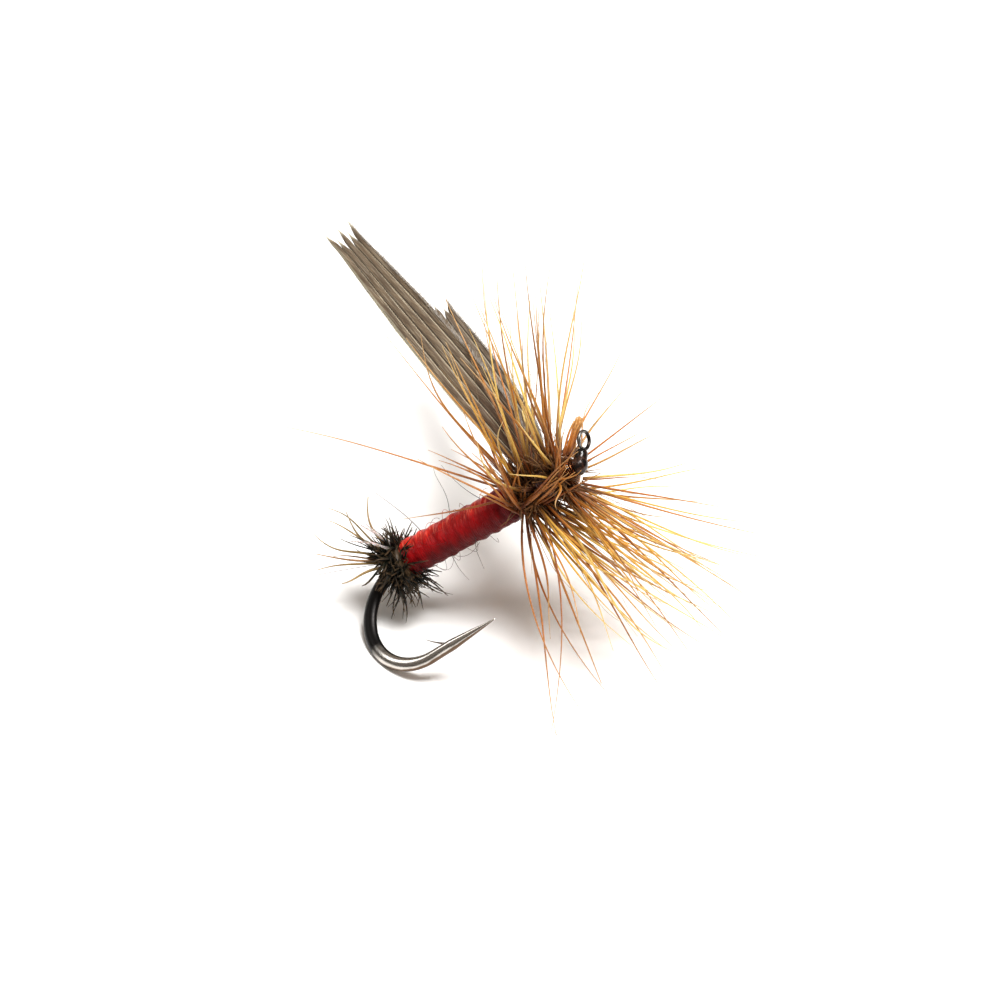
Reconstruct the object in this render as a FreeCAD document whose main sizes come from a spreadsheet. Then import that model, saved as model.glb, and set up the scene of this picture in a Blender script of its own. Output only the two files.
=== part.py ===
import FreeCAD, Part
import math
import os
import random
import Sketcher
from FreeCAD import Placement, Rotation, Vector

# A dry fly, lying on a table on the outside of its hook's bend and on its lower hackle tips.
# Each piece is built in the fly's own frame and then laid down by one placement, POSE.
# Fly frame: +X along the shank to the eye, +Z to the side the wings stand on, gape at -Z.
# Row frame: +Z up from the table, origin on the table under the middle of the fly.

doc = FreeCAD.newDocument("dry_fly")

# ---------------------------------------------------------------- driving dimensions

DIMENSIONS = {
    # how the fly lies: the shank's rise to the eye, and its roll towards the gape
    "shank_rise": 36.4,
    "shank_roll": 67.9,
    "stand_east": -5.578,
    "stand_north": -1.84,
    "stand_height": 2.40,
    "table_clearance": 0.12,
    # hook
    "wire_diameter": 0.50,
    "bend_start": 0.40,
    "bend_radius": 2.46,
    "spear_turn": 3.5,
    "spear_cone_start": 1.0,
    "point_tip": 3.23,
    "point_radius": 0.025,
    "taper_start": 7.80,
    "shank_end": 9.05,
    "eye_wire": 0.16,
    "eye_turn": 65.6,
    "eye_turn_radius": 0.25,
    "eye_neck": 0.60,
    "eye_ring_radius": 0.37,
    "eye_bore_radius": 0.295,
    "barb_root_front": 1.00,
    "barb_root_back": 0.42,
    "barb_tip_place": -0.13,
    "barb_rise": 0.71,
    "barb_width": 0.17,
    # thread and body
    "thread_radius": 0.31,
    "underbody_radius": 0.60,
    "body_start": 0.42,
    "body_end": 5.95,
    "bore_overrun": 1.0,
    "floss_turns": 10,
    "floss_core_radius": 0.74,
    "floss_turn_radius": 0.28,
    "floss_turn_place": 0.545,
    "rear_turn_start": 0.20,
    # thorax and head
    "thorax_radius": 0.47,
    "butts_radius": 0.40,
    "butts_start": 6.10,
    "butts_end": 7.40,
    "butts_angle": 240.0,
    "thorax_end": 8.50,
    "head_middle": 8.80,
    "head_end": 9.15,
    "head_back_radius": 0.50,
    "head_radius": 0.66,
    "head_front_radius": 0.30,
    "head_bore_radius": 0.19,
    "varnish_thickness": 0.05,
    "neck_wraps_start": 0.16,
    "neck_wraps_length": 0.40,
    "neck_wraps_low_radius": 0.21,
    "neck_wraps_high_radius": 0.14,
    # butt herl
    "herl_start": -0.42,
    "herl_pitch": 0.19,
    "herl_turns": 3,
    "herl_stem_radius": 0.07,
    "herl_coil_radius": 0.42,
    "barbules_per_turn": 24,
    "barbule_shortest": 1.25,
    "barbule_longest": 2.15,
    "barbule_root_radius": 0.055,
    "barbule_tip_radius": 0.025,
    "barbule_lean": -10.0,
    "barbule_lean_step": 20.0,
    # tail, fluff and hairs: where they leave the shank and how thick they are
    "tail_place": 0.40,
    "tail_root_radius": 0.055,
    "tail_tip_radius": 0.020,
    "fluff_place": 0.74,
    "fluff_root_radius": 0.070,
    "fluff_tip_radius": 0.030,
    "hair_place": 0.45,
    "hair_root_radius": 0.030,
    "hair_tip_radius": 0.015,
    # wings
    "wing_station": 7.50,
    "left_wing_rake": 20.3,
    "right_wing_rake": 22.8,
    "wing_split": 15.2,
    "wing_length": 15.3,
    "wrap_radius": 0.065,
    "wrap_place": 0.540,
    "wraps_radius": 0.565,
    "wrap_pitch": 0.13,
    "wrap_turns": 3,
    "wing_width": 2.0,
    "wing_lead": 0.18,
    "wing_thickness": 0.11,
    "wing_tip_width": 0.08,
    "wing_tip_thickness": 0.05,
    # hackle
    "stem_radius": 0.075,
    "stem_coil_radius": 0.53,
    "rear_stem_start": 6.08,
    "rear_stem_turns": 4,
    "rear_stem_pitch": 0.30,
    "front_stem_start": 7.86,
    "front_stem_turns": 3,
    "front_stem_pitch": 0.20,
    "barbs_per_turn": 30,
    "barb_length": 9.2,
    "barb_root_radius": 0.060,
    "barb_tip_radius": 0.022,
    "hackle_lean": 20.0,
    "rear_lean_change": -9.0,
    "front_lean_change": -3.0,
    "lean_step": 2.0,
    "support_root_radius": 0.075,
    "support_tip_radius": 0.030,
    "support_clearance": 0.02,
    "stray_place": 0.53,
    "stray_root_radius": 0.055,
    "stray_tip_radius": 0.020,
    "stub_station": 8.78,
    "stub_place": 0.62,
    "stub_azimuth": 350.0,
    "stub_lean": 38.0,
    "stub_length": 1.60,
    "stub_root_radius": 0.16,
    "stub_tip_radius": 0.13,
}


def make_sheet():
    """The spreadsheet that holds the driving dimensions, one alias to a row."""
    sheet = doc.addObject("Spreadsheet::Sheet", "Dims")
    for row, (alias, value) in enumerate(DIMENSIONS.items(), start=1):
        sheet.set(f"A{row}", alias)
        sheet.set(f"B{row}", str(value))
        sheet.setAlias(f"B{row}", alias)
    doc.recompute()
    return sheet


sheet = make_sheet()


def size(alias):
    """A driving dimension, read back from the sheet."""
    return float(getattr(sheet, alias))


def bind(feature, **properties):
    """Bind properties of a feature to expressions of the sheet's cells."""
    for name, expression in properties.items():
        feature.setExpression(name, expression)


def make_pose():
    """The placement that lays the fly on the table."""
    roll = Rotation(Vector(1, 0, 0), -size("shank_roll"))
    rise = Rotation(Vector(0, 1, 0), -size("shank_rise"))
    stand = Vector(size("stand_east"), size("stand_north"), size("stand_height"))
    return Placement(stand, rise.multiply(roll))


POSE = make_pose()
ALONG = Vector(1, 0, 0)
ACROSS = Vector(0, 1, 0)
UP = Vector(0, 0, 1)

sub_parts = []


def keep(feature, name):
    """Name a finished sub-part and lay it down with the rest of the fly."""
    feature.Label = name
    feature.Placement = POSE
    sub_parts.append(feature)
    return feature


def keep_solids(name, solids):
    """A sub-part of separate solids that the sheet's sizes have been worked into."""
    feature = doc.addObject("Part::Feature", name)
    feature.Shape = solids[0] if len(solids) == 1 else Part.makeCompound(solids)
    return keep(feature, name)


# ---------------------------------------------------------------- shared shapes


def lay_along_shank(feature, start):
    """Turn a primitive's +Z to the shank's direction and start it at a station."""
    feature.Placement = Placement(Vector(0, 0, 0), Rotation(ACROSS, 90))
    feature.setExpression(".Placement.Base.x", start)
    return feature


def shank_cylinder(name, radius, start, end):
    cylinder = doc.addObject("Part::Cylinder", name)
    bind(cylinder, Radius=radius, Height=f"{end} - {start}")
    return lay_along_shank(cylinder, start)


def shank_cone(name, back_radius, front_radius, start, end):
    cone = doc.addObject("Part::Cone", name)
    bind(cone, Radius1=back_radius, Radius2=front_radius, Height=f"{end} - {start}")
    return lay_along_shank(cone, start)


def cut(name, base, tool):
    feature = doc.addObject("Part::Cut", name)
    feature.Base = base
    feature.Tool = tool
    return feature


def fuse(name, shapes):
    feature = doc.addObject("Part::MultiFuse", name)
    feature.Shapes = shapes
    return feature


def sleeve(name, inner, outer, start, end):
    """A plain layer wound round the shank."""
    skin = shank_cylinder(name + "_outside", outer, start, end)
    core = shank_cylinder(name + "_inside", inner, start, end)
    return keep(cut(name, skin, core), name)


def ruled_solid(sections):
    """A closed solid through a row of parallel sections, each a list of as many corners.

    Matching edges of two sections are parallel, so every side is one flat face.
    """
    count = len(sections[0])
    loops = [sections[0], sections[-1]]
    for near, far in zip(sections, sections[1:]):
        for k in range(count):
            other = (k + 1) % count
            loops.append([near[k], near[other], far[other], far[k]])
    faces = [Part.Face(Part.makePolygon(loop + [loop[0]])) for loop in loops]
    solid = Part.Solid(Part.Shell(faces))
    if solid.Volume < 0:
        solid.reverse()
    return solid


FIBRE_SIDES = 3
TAPER_POWER = 1.5


def fibre(points, radii, side, front):
    """A tapered three-sided fibre through points, its sections parallel to side and front."""
    sections = []
    for point, radius in zip(points, radii):
        corners = []
        for k in range(FIBRE_SIDES):
            angle = math.pi / 2 + 2 * math.pi * k / FIBRE_SIDES
            out = side * math.cos(angle) + front * math.sin(angle)
            corners.append(point + out * radius)
        sections.append(corners)
    return ruled_solid(sections)


def taper(root, tip, count):
    """Radii that fall from root to tip, slowly at first."""
    return [root + (tip - root) * (k / (count - 1)) ** TAPER_POWER for k in range(count)]


def radial(azimuth):
    """The direction out of the shank at an azimuth in degrees, from the wing side towards +Y."""
    angle = math.radians(azimuth)
    return Vector(0, math.sin(angle), math.cos(angle))


def height_over_table(point):
    return POSE.multVec(point).z


COIL_STEPS = 12


def square(centre, along, out, half):
    """The four corners of a square section."""
    return [
        centre - along * half - out * half,
        centre + along * half - out * half,
        centre + along * half + out * half,
        centre - along * half + out * half,
    ]


def coil(start, pitch, turns, coil_radius, stem_radius):
    """A square stem wound round the shank, made of flat facets."""
    rings = []
    for k in range(int(turns) * COIL_STEPS + 1):
        out = radial(360.0 * k / COIL_STEPS)
        centre = ALONG * (start + pitch * k / COIL_STEPS) + out * coil_radius
        rings.append(square(centre, ALONG, out, stem_radius))
    triangles = []
    for ring in (rings[0], rings[-1]):
        triangles.append([ring[0], ring[1], ring[2]])
        triangles.append([ring[0], ring[2], ring[3]])
    for near, far in zip(rings, rings[1:]):
        for k in range(4):
            other = (k + 1) % 4
            triangles.append([near[k], near[other], far[other]])
            triangles.append([near[k], far[other], far[k]])
    faces = [Part.Face(Part.makePolygon(loop + [loop[0]])) for loop in triangles]
    solid = Part.Solid(Part.Shell(faces))
    if solid.Volume < 0:
        solid.reverse()
    return solid


# ---------------------------------------------------------------- hook

# A value under this is zero, and a cut has to take away more than this, in mm and mm3.
SMALLEST = 1e-6


def sketch_on(body, name, role):
    """A sketch on one of a body's own origin planes."""
    plane = next(f for f in body.Origin.OriginFeatures if f.Role == role)
    sketch = body.newObject("Sketcher::SketchObject", name)
    sketch.AttachmentSupport = [(plane, "")]
    sketch.MapMode = "FlatFace"
    return sketch


def round_section(body, name, radius, station):
    """A circle across the shank's line at a station."""
    sketch = sketch_on(body, name, "YZ_Plane")
    circle = sketch.addGeometry(Part.Circle(Vector(0, 0, 0), UP, size("eye_wire")), False)
    sketch.addConstraint(Sketcher.Constraint("Coincident", circle, 3, -1, 1))
    which = sketch.addConstraint(Sketcher.Constraint("Radius", circle, size("eye_wire")))
    sketch.setExpression(f"Constraints[{which}]", radius)
    sketch.setExpression(".AttachmentOffset.Base.z", station)
    return sketch


def value_of(expression):
    """The present value of an expression of the sheet's cells."""
    return float(sheet.evalExpression(expression))


def hold_point(sketch, edge, end, x, y):
    """Constrain an edge's end to x and y, each an expression of the sheet's cells."""
    for kind, axis, expression in (("DistanceX", -2, x), ("DistanceY", -1, y)):
        value = value_of(expression)
        if abs(value) < SMALLEST:
            sketch.addConstraint(Sketcher.Constraint("PointOnObject", edge, end, axis))
            continue
        which = sketch.addConstraint(Sketcher.Constraint(kind, -1, 1, edge, end, value))
        sketch.setExpression(f"Constraints[{which}]", expression)


def polygon(sketch, corners):
    """A closed outline whose corners are each held at two expressions."""
    points = [Vector(value_of(x), value_of(y), 0) for x, y in corners]
    edges = []
    for here, there in zip(points, points[1:] + points[:1]):
        edges.append(sketch.addGeometry(Part.LineSegment(here, there), False))
    for near, far in zip(edges, edges[1:] + edges[:1]):
        sketch.addConstraint(Sketcher.Constraint("Coincident", near, 2, far, 1))
    for edge, (x, y) in zip(edges, corners):
        hold_point(sketch, edge, 1, x, y)


def pipe(body, name, section, path, edges):
    feature = body.newObject("PartDesign::AdditivePipe", name)
    feature.Profile = section
    feature.Spine = (path, [f"Edge{k + 1}" for k in range(edges)])
    return feature


def turned(body, name, profile, axis):
    feature = body.newObject("PartDesign::Revolution", name)
    feature.Profile = profile
    feature.ReferenceAxis = (profile, [axis])
    feature.Angle = 360
    return feature


# Where the bend runs out into the spear, and where the spear's straight part ends.
SPEAR_SIN = "sin(Dims.spear_turn * 1 deg)"
SPEAR_COS = "cos(Dims.spear_turn * 1 deg)"
SPEAR_START_X = f"Dims.bend_start + Dims.bend_radius * {SPEAR_SIN}"
SPEAR_START_Z = f"-Dims.bend_radius - Dims.bend_radius * {SPEAR_COS}"
SPEAR_END_X = f"{SPEAR_START_X} + Dims.spear_cone_start * {SPEAR_COS}"
SPEAR_END_Z = f"{SPEAR_START_Z} + Dims.spear_cone_start * {SPEAR_SIN}"


def along_spear(sketch):
    """Move a sketch's origin to the start of the spear and turn its x along it."""
    start = Vector(value_of(SPEAR_START_X), value_of(SPEAR_START_Z), 0)
    sketch.AttachmentOffset = Placement(start, Rotation(UP, size("spear_turn")))
    return sketch


def bend_path(body):
    """The wire's centreline: shank, round bend and the start of the spear."""
    sketch = sketch_on(body, "BendPath", "XZ_Plane")
    radius = size("bend_radius")
    start = size("bend_start")
    turn = math.radians(size("spear_turn"))
    top = Vector(start, 0, 0)
    shank = sketch.addGeometry(Part.LineSegment(Vector(size("taper_start"), 0, 0), top), False)
    circle = Part.Circle(Vector(start, -radius, 0), UP, radius)
    bend_arc = Part.ArcOfCircle(circle, math.pi / 2, 3 * math.pi / 2 + turn)
    bend = sketch.addGeometry(bend_arc, False)
    spear_end = Vector(value_of(SPEAR_END_X), value_of(SPEAR_END_Z), 0)
    spear = sketch.addGeometry(Part.LineSegment(bend_arc.EndPoint, spear_end), False)
    sketch.addConstraint(Sketcher.Constraint("Coincident", shank, 2, bend, 1))
    sketch.addConstraint(Sketcher.Constraint("Coincident", bend, 2, spear, 1))
    hold_point(sketch, shank, 1, "Dims.taper_start", "0")
    hold_point(sketch, shank, 2, "Dims.bend_start", "0")
    hold_point(sketch, bend, 3, "Dims.bend_start", "-Dims.bend_radius")
    hold_point(sketch, spear, 2, SPEAR_END_X, SPEAR_END_Z)
    which = sketch.addConstraint(
        Sketcher.Constraint("DistanceX", -1, 1, bend, 2, value_of(SPEAR_START_X))
    )
    sketch.setExpression(f"Constraints[{which}]", SPEAR_START_X)
    return sketch


# Where the neck's arc ends, and where the straight neck meets the middle of the ring's wire.
EYE_SIN = "sin(Dims.eye_turn * 1 deg)"
EYE_COS = "cos(Dims.eye_turn * 1 deg)"
NECK_START_X = f"Dims.shank_end + Dims.eye_turn_radius * {EYE_SIN}"
NECK_START_Z = f"Dims.eye_turn_radius - Dims.eye_turn_radius * {EYE_COS}"
NECK_END_X = f"{NECK_START_X} + Dims.eye_neck * {EYE_COS}"
NECK_END_Z = f"{NECK_START_Z} + Dims.eye_neck * {EYE_SIN}"
EYE_X = f"{NECK_END_X} + Dims.eye_ring_radius * {EYE_COS}"
EYE_Z = f"{NECK_END_Z} + Dims.eye_ring_radius * {EYE_SIN}"


def eye_path(body):
    """The short arc and straight neck that carry the tapered wire up to the eye."""
    sketch = sketch_on(body, "EyePath", "XZ_Plane")
    radius = size("eye_turn_radius")
    circle = Part.Circle(Vector(size("shank_end"), radius, 0), UP, radius)
    last = -math.pi / 2 + math.radians(size("eye_turn"))
    arc = sketch.addGeometry(Part.ArcOfCircle(circle, -math.pi / 2, last), False)
    neck_start = Vector(value_of(NECK_START_X), value_of(NECK_START_Z), 0)
    neck_end = Vector(value_of(NECK_END_X), value_of(NECK_END_Z), 0)
    neck = sketch.addGeometry(Part.LineSegment(neck_start, neck_end), False)
    sketch.addConstraint(Sketcher.Constraint("Coincident", arc, 2, neck, 1))
    hold_point(sketch, arc, 3, "Dims.shank_end", "Dims.eye_turn_radius")
    hold_point(sketch, arc, 1, "Dims.shank_end", "0")
    hold_point(sketch, neck, 2, NECK_END_X, NECK_END_Z)
    which = sketch.addConstraint(
        Sketcher.Constraint("DistanceX", -1, 1, arc, 2, value_of(NECK_START_X))
    )
    sketch.setExpression(f"Constraints[{which}]", NECK_START_X)
    return sketch


def eye_ring_section(body):
    """The ring's round section, flat where the bore runs through, beside the bore's axis."""
    sketch = sketch_on(body, "EyeRingSection", "XZ_Plane")
    place = size("eye_ring_radius")
    wire = size("eye_wire") / 2
    depth = place - size("eye_bore_radius")
    half = math.sqrt(wire**2 - depth**2)
    opening = math.acos(depth / wire)
    circle = Part.Circle(Vector(place, 0, 0), UP, wire)
    arc_ends = (-math.pi + opening, math.pi - opening)
    arc = sketch.addGeometry(Part.ArcOfCircle(circle, *arc_ends), False)
    inner = place - depth
    land = Part.LineSegment(Vector(inner, half, 0), Vector(inner, -half, 0))
    flat = sketch.addGeometry(land, False)
    sketch.addConstraint(Sketcher.Constraint("Coincident", arc, 2, flat, 1))
    sketch.addConstraint(Sketcher.Constraint("Coincident", flat, 2, arc, 1))
    sketch.addConstraint(Sketcher.Constraint("Vertical", flat))
    hold_point(sketch, arc, 3, "Dims.eye_ring_radius", "0")
    which = sketch.addConstraint(Sketcher.Constraint("Radius", arc, wire))
    sketch.setExpression(f"Constraints[{which}]", "Dims.eye_wire / 2")
    which = sketch.addConstraint(Sketcher.Constraint("DistanceX", -1, 1, flat, 1, inner))
    sketch.setExpression(f"Constraints[{which}]", "Dims.eye_bore_radius")
    centre = Vector(value_of(EYE_X), value_of(EYE_Z), 0)
    sketch.AttachmentOffset = Placement(centre, Rotation(UP, size("eye_turn")))
    return sketch


def make_hook():
    """The wire from its tapered front end back along the shank, round the bend to the barb and point."""
    body = doc.addObject("PartDesign::Body", "hook_body")
    path = bend_path(body)
    section = round_section(body, "WireSection", "Dims.wire_diameter / 2", "Dims.taper_start")
    pipe(body, "Wire", section, path, 3)

    point = along_spear(sketch_on(body, "PointProfile", "XZ_Plane"))
    polygon(
        point,
        [
            ("Dims.spear_cone_start", "0"),
            ("Dims.point_tip", "0"),
            ("Dims.point_tip", "Dims.point_radius"),
            ("Dims.spear_cone_start", "Dims.wire_diameter / 2"),
        ],
    )
    turned(body, "Point", point, "H_Axis")

    neck = sketch_on(body, "NeckProfile", "XZ_Plane")
    polygon(
        neck,
        [
            ("Dims.taper_start", "0"),
            ("Dims.shank_end", "0"),
            ("Dims.shank_end", "Dims.eye_wire / 2"),
            ("Dims.taper_start", "Dims.wire_diameter / 2"),
        ],
    )
    turned(body, "Neck", neck, "H_Axis")

    barb = along_spear(sketch_on(body, "BarbProfile", "XZ_Plane"))
    root = "Dims.wire_diameter / 5"
    polygon(
        barb,
        [
            ("Dims.barb_root_back", root),
            ("Dims.barb_root_front", root),
            ("Dims.barb_tip_place", "Dims.wire_diameter / 2 + Dims.barb_rise"),
        ],
    )
    spike = body.newObject("PartDesign::Pad", "Barb")
    spike.Profile = barb
    spike.Midplane = True
    spike.setExpression("Length", "Dims.barb_width")
    keep(body, "hook")


def make_hook_eye():
    """The same wire's thin end, carried up in a neck and closed in a ring: the up-turned eye."""
    body = doc.addObject("PartDesign::Body", "hook_eye_body")
    section = round_section(body, "EyeWireSection", "Dims.eye_wire / 2", "Dims.shank_end")
    pipe(body, "EyeNeck", section, eye_path(body), 2)
    turned(body, "EyeRing", eye_ring_section(body), "V_Axis")
    keep(body, "hook_eye")


# ---------------------------------------------------------------- thread and body


def make_floss_body():
    """The outer floss: a core with a rounded ridge for each turn, on the underbody."""
    start = "Dims.body_start"
    end = "Dims.body_end"
    ridges = [shank_cylinder("floss_core", "Dims.floss_core_radius", start, end)]
    pitch = "(Dims.body_end - Dims.body_start) / Dims.floss_turns"
    for k in range(int(size("floss_turns"))):
        ridge = doc.addObject("Part::Torus", f"floss_ridge_{k + 1}")
        bind(ridge, Radius1="Dims.floss_turn_place", Radius2="Dims.floss_turn_radius")
        lay_along_shank(ridge, f"Dims.body_start + {pitch} * ({k} + 0.5)")
        ridges.append(ridge)
    before = "(Dims.body_start - Dims.bore_overrun)"
    beyond = "(Dims.body_end + Dims.bore_overrun)"
    bore = shank_cylinder("floss_bore", "Dims.underbody_radius", before, beyond)
    keep(cut("floss_wound", fuse("floss_outside", ridges), bore), "floss_body")


def make_layers():
    """The plain layers round the shank, from the wire outwards."""
    wire = "Dims.wire_diameter / 2"
    thread = "Dims.thread_radius"
    sleeve("thread_base", wire, thread, "Dims.rear_turn_start", "Dims.taper_start")
    sleeve("floss_underbody", thread, "Dims.underbody_radius", "Dims.body_start", "Dims.body_end")
    sleeve("floss_rear_turn", thread, "Dims.floss_core_radius", "Dims.rear_turn_start", "Dims.body_start")


def butts_segment(name):
    """The part of a cylinder over the shank that the wings' cut roots fill."""
    segment = shank_cylinder(name, "Dims.butts_radius", "Dims.butts_start", "Dims.butts_end")
    bind(segment, Angle="Dims.butts_angle * 1 deg")
    centred = Rotation(ACROSS, 90).multiply(Rotation(UP, 180 - size("butts_angle") / 2))
    segment.Placement = Placement(Vector(size("butts_start"), 0, 0), centred)
    return segment


def make_thorax():
    """The cut roots of the wings on the shank, and the thread wound over them."""
    thread = "Dims.thread_radius"
    core = shank_cylinder("butts_core", thread, "Dims.butts_start", "Dims.butts_end")
    keep(cut("butts_lashed", butts_segment("butts_outside"), core), "wing_butts")
    skin = shank_cylinder("thorax_skin", "Dims.thorax_radius", "Dims.body_end", "Dims.thorax_end")
    bore = shank_cylinder("thorax_bore", thread, "Dims.body_end", "Dims.thorax_end")
    wound = cut("thorax_wound", skin, bore)
    keep(cut("thorax_over_butts", wound, butts_segment("butts_room")), "thorax_thread")


def make_wing_wraps():
    """The thread turns tight against the wings' roots."""
    rings = []
    for k in range(int(size("wrap_turns"))):
        ring = doc.addObject("Part::Torus", f"wing_wrap_{k + 1}")
        bind(ring, Radius1="Dims.wrap_place", Radius2="Dims.wrap_radius")
        middle = "(Dims.wrap_turns - 1) / 2"
        lay_along_shank(ring, f"Dims.wing_station + Dims.wrap_pitch * ({k} - {middle})")
        rings.append(ring)
    reach = "Dims.wrap_pitch * Dims.wrap_turns / 2"
    start = f"(Dims.wing_station - {reach})"
    end = f"(Dims.wing_station + {reach})"
    rings.append(shank_cylinder("wraps_skin", "Dims.wraps_radius", start, end))
    bore = shank_cylinder("wraps_bore", "Dims.thorax_radius", "Dims.body_end", "Dims.thorax_end")
    keep(cut("wraps_wound", fuse("wraps_outside", rings), bore), "wing_wraps")


def head_shape(name, swell):
    """The head's outline: it swells from the thorax to its middle and falls to the eye."""
    back = shank_cone(
        name + "_back",
        f"Dims.head_back_radius + {swell}",
        f"Dims.head_radius + {swell}",
        "Dims.thorax_end",
        "Dims.head_middle",
    )
    front = shank_cone(
        name + "_front",
        f"Dims.head_radius + {swell}",
        f"Dims.head_front_radius + {swell}",
        "Dims.head_middle",
        "Dims.head_end",
    )
    return fuse(name, [back, front])


def make_head():
    """The thread head and the clear varnish on it."""
    beyond = "(Dims.head_end + Dims.bore_overrun)"
    bore = shank_cylinder("head_bore", "Dims.head_bore_radius", "Dims.thorax_end", beyond)
    keep(cut("head_wound", head_shape("head_outside", "0"), bore), "head_wraps")
    coat = head_shape("varnish_outside", "Dims.varnish_thickness")
    keep(cut("varnish_coat", coat, head_shape("varnish_inside", "0")), "head_varnish")


def lay_along_neck(feature, start):
    """Turn a primitive's +Z to the eye's neck and start it at a distance up the neck."""
    feature.Placement = Placement(Vector(0, 0, 0), Rotation(ACROSS, 90 - size("eye_turn")))
    feature.setExpression(".Placement.Base.x", f"{NECK_START_X} + ({start}) * {EYE_COS}")
    feature.setExpression(".Placement.Base.z", f"{NECK_START_Z} + ({start}) * {EYE_SIN}")
    return feature


def make_neck_wraps():
    """The varnished thread turns on the eye's neck, thickest next to the head."""
    cone = doc.addObject("Part::Cone", "neck_outside")
    bind(cone, Radius1="Dims.neck_wraps_low_radius", Radius2="Dims.neck_wraps_high_radius")
    bind(cone, Height="Dims.neck_wraps_length")
    bore = doc.addObject("Part::Cylinder", "neck_bore")
    bind(bore, Radius="Dims.eye_wire / 2", Height="Dims.neck_wraps_length + 2 * Dims.bore_overrun")
    lay_along_neck(cone, "Dims.neck_wraps_start")
    lay_along_neck(bore, "Dims.neck_wraps_start - Dims.bore_overrun")
    keep(cut("neck_wound", cone, bore), "neck_wraps")


# ---------------------------------------------------------------- herl, tail and hairs


def fibre_line(station, root_radius, azimuth, lean, length, bow, twist, steps):
    """Centre points of a fibre that leaves the shank, and its two cross directions.

    lean turns it towards the eye; bow bends its end towards the eye and twist to one side.
    """
    out = radial(azimuth)
    side = ALONG.cross(out)
    angle = math.radians(lean)
    direction = out * math.cos(angle) + ALONG * math.sin(angle)
    front = ALONG * math.cos(angle) - out * math.sin(angle)
    start = ALONG * station + out * root_radius
    points = []
    for k in range(steps + 1):
        share = k / steps
        aside = (front * bow + side * twist) * (length * share**2)
        points.append(start + direction * (length * share) + aside)
    return points, side, front


# How much of its length a fibre keeps each time it is shortened.
SHORTENING = 0.97


def clear_line(station, root_radius, azimuth, lean, length, bow, twist, steps):
    """A fibre's line, made shorter if need be until it stays over the table."""
    while True:
        line = fibre_line(station, root_radius, azimuth, lean, length, bow, twist, steps)
        if min(height_over_table(point) for point in line[0]) > size("table_clearance"):
            return line
        length *= SHORTENING


def make_fibre(line, root, tip):
    points, side, front = line
    return fibre(points, taper(root, tip, len(points)), side, front)


# A barbule's spread about its even place and lean, in degrees, and its bow and twist.
BARBULE_SPREAD = 6
BARBULE_LEAN_SPREAD = 18
BARBULE_BOW = -0.12
BARBULE_TWIST = 0.1
# The barbules on the gape's side are longer, between these azimuths.
LONG_SIDE = (120, 260)
LONG_SIDE_GAIN = 1.12


def barbule(turn, share, draw):
    """One barbule of the herl, at a share of the way round a turn."""
    azimuth = 360.0 * share + draw.uniform(-BARBULE_SPREAD, BARBULE_SPREAD)
    station = size("herl_start") + size("herl_pitch") * (turn + share)
    lean = size("barbule_lean") + size("barbule_lean_step") * turn
    lean += draw.uniform(-BARBULE_LEAN_SPREAD, BARBULE_LEAN_SPREAD)
    length = draw.uniform(size("barbule_shortest"), size("barbule_longest"))
    if LONG_SIDE[0] < azimuth % 360 < LONG_SIDE[1]:
        length *= LONG_SIDE_GAIN
    root = size("herl_coil_radius")
    line = clear_line(station, root, azimuth, lean, length, BARBULE_BOW, BARBULE_TWIST, 3)
    return make_fibre(line, size("barbule_root_radius"), size("barbule_tip_radius"))


def make_herl():
    """The wound peacock quill and, turn by turn, the barbules that stand out of it."""
    turns = int(size("herl_turns"))
    place = size("herl_coil_radius")
    stem = coil(size("herl_start"), size("herl_pitch"), turns, place, size("herl_stem_radius"))
    keep_solids("butt_herl_stem", [stem])
    draw = random.Random(11)
    count = int(size("barbules_per_turn"))
    for turn in range(turns):
        solids = [barbule(turn, k / count, draw) for k in range(count)]
        keep_solids(f"butt_herl_flue_{turn + 1}", solids)


# Each loose fibre is (station, azimuth, lean, length, bow), in mm and degrees.
TAIL_FIBRES = [
    (-0.30, 300, -38, 3.3, 0.10),
    (-0.22, 318, -30, 3.0, -0.10),
    (-0.15, 330, -36, 3.6, 0.05),
    (-0.10, 308, -22, 2.6, 0.12),
    (-0.34, 286, -52, 3.1, 0.04),
    (-0.28, 272, -45, 3.0, -0.08),
    (-0.05, 342, -20, 2.7, 0.15),
    (-0.20, 296, -60, 2.4, 0.02),
    (-0.38, 255, -48, 2.2, 0.06),
]
FLUFF_FIBRES = [
    (0.30, 302, -30, 1.7, 0.20),
    (0.30, 290, -42, 1.9, -0.15),
    (0.28, 312, -22, 1.5, -0.10),
    (0.28, 282, -34, 1.4, 0.25),
]
HAIRS = [
    (-0.35, 268, -50, 4.2, -0.06),
    (1.60, 318, -6, 2.7, -0.22),
    (2.90, 332, 8, 2.3, 0.20),
    (0.90, 176, 12, 2.2, 0.22),
    (3.90, 188, -18, 1.9, 0.25),
    (4.80, 330, -40, 2.6, 0.18),
    (2.20, 170, 30, 1.8, -0.20),
]


def make_loose(name, fibres, kind):
    """A sub-part of loose fibres chosen one by one, of a kind that the sheet has sizes for."""
    place = size(f"{kind}_place")
    root = size(f"{kind}_root_radius")
    tip = size(f"{kind}_tip_radius")
    solids = []
    for station, azimuth, lean, length, bow in fibres:
        line = clear_line(station, place, azimuth, lean, length, bow, 0, 4)
        solids.append(make_fibre(line, root, tip))
    keep_solids(name, solids)


# ---------------------------------------------------------------- wings

# A slip's outline: share of the length, share of the full width.
WING_OUTLINE = [
    (0.035, 0.30),
    (0.11, 0.60),
    (0.21, 0.85),
    (0.34, 1.0),
    (0.50, 0.98),
    (0.64, 0.92),
    (0.80, 0.76),
    (0.93, 0.58),
]
WING_BARBS = 5
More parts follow.
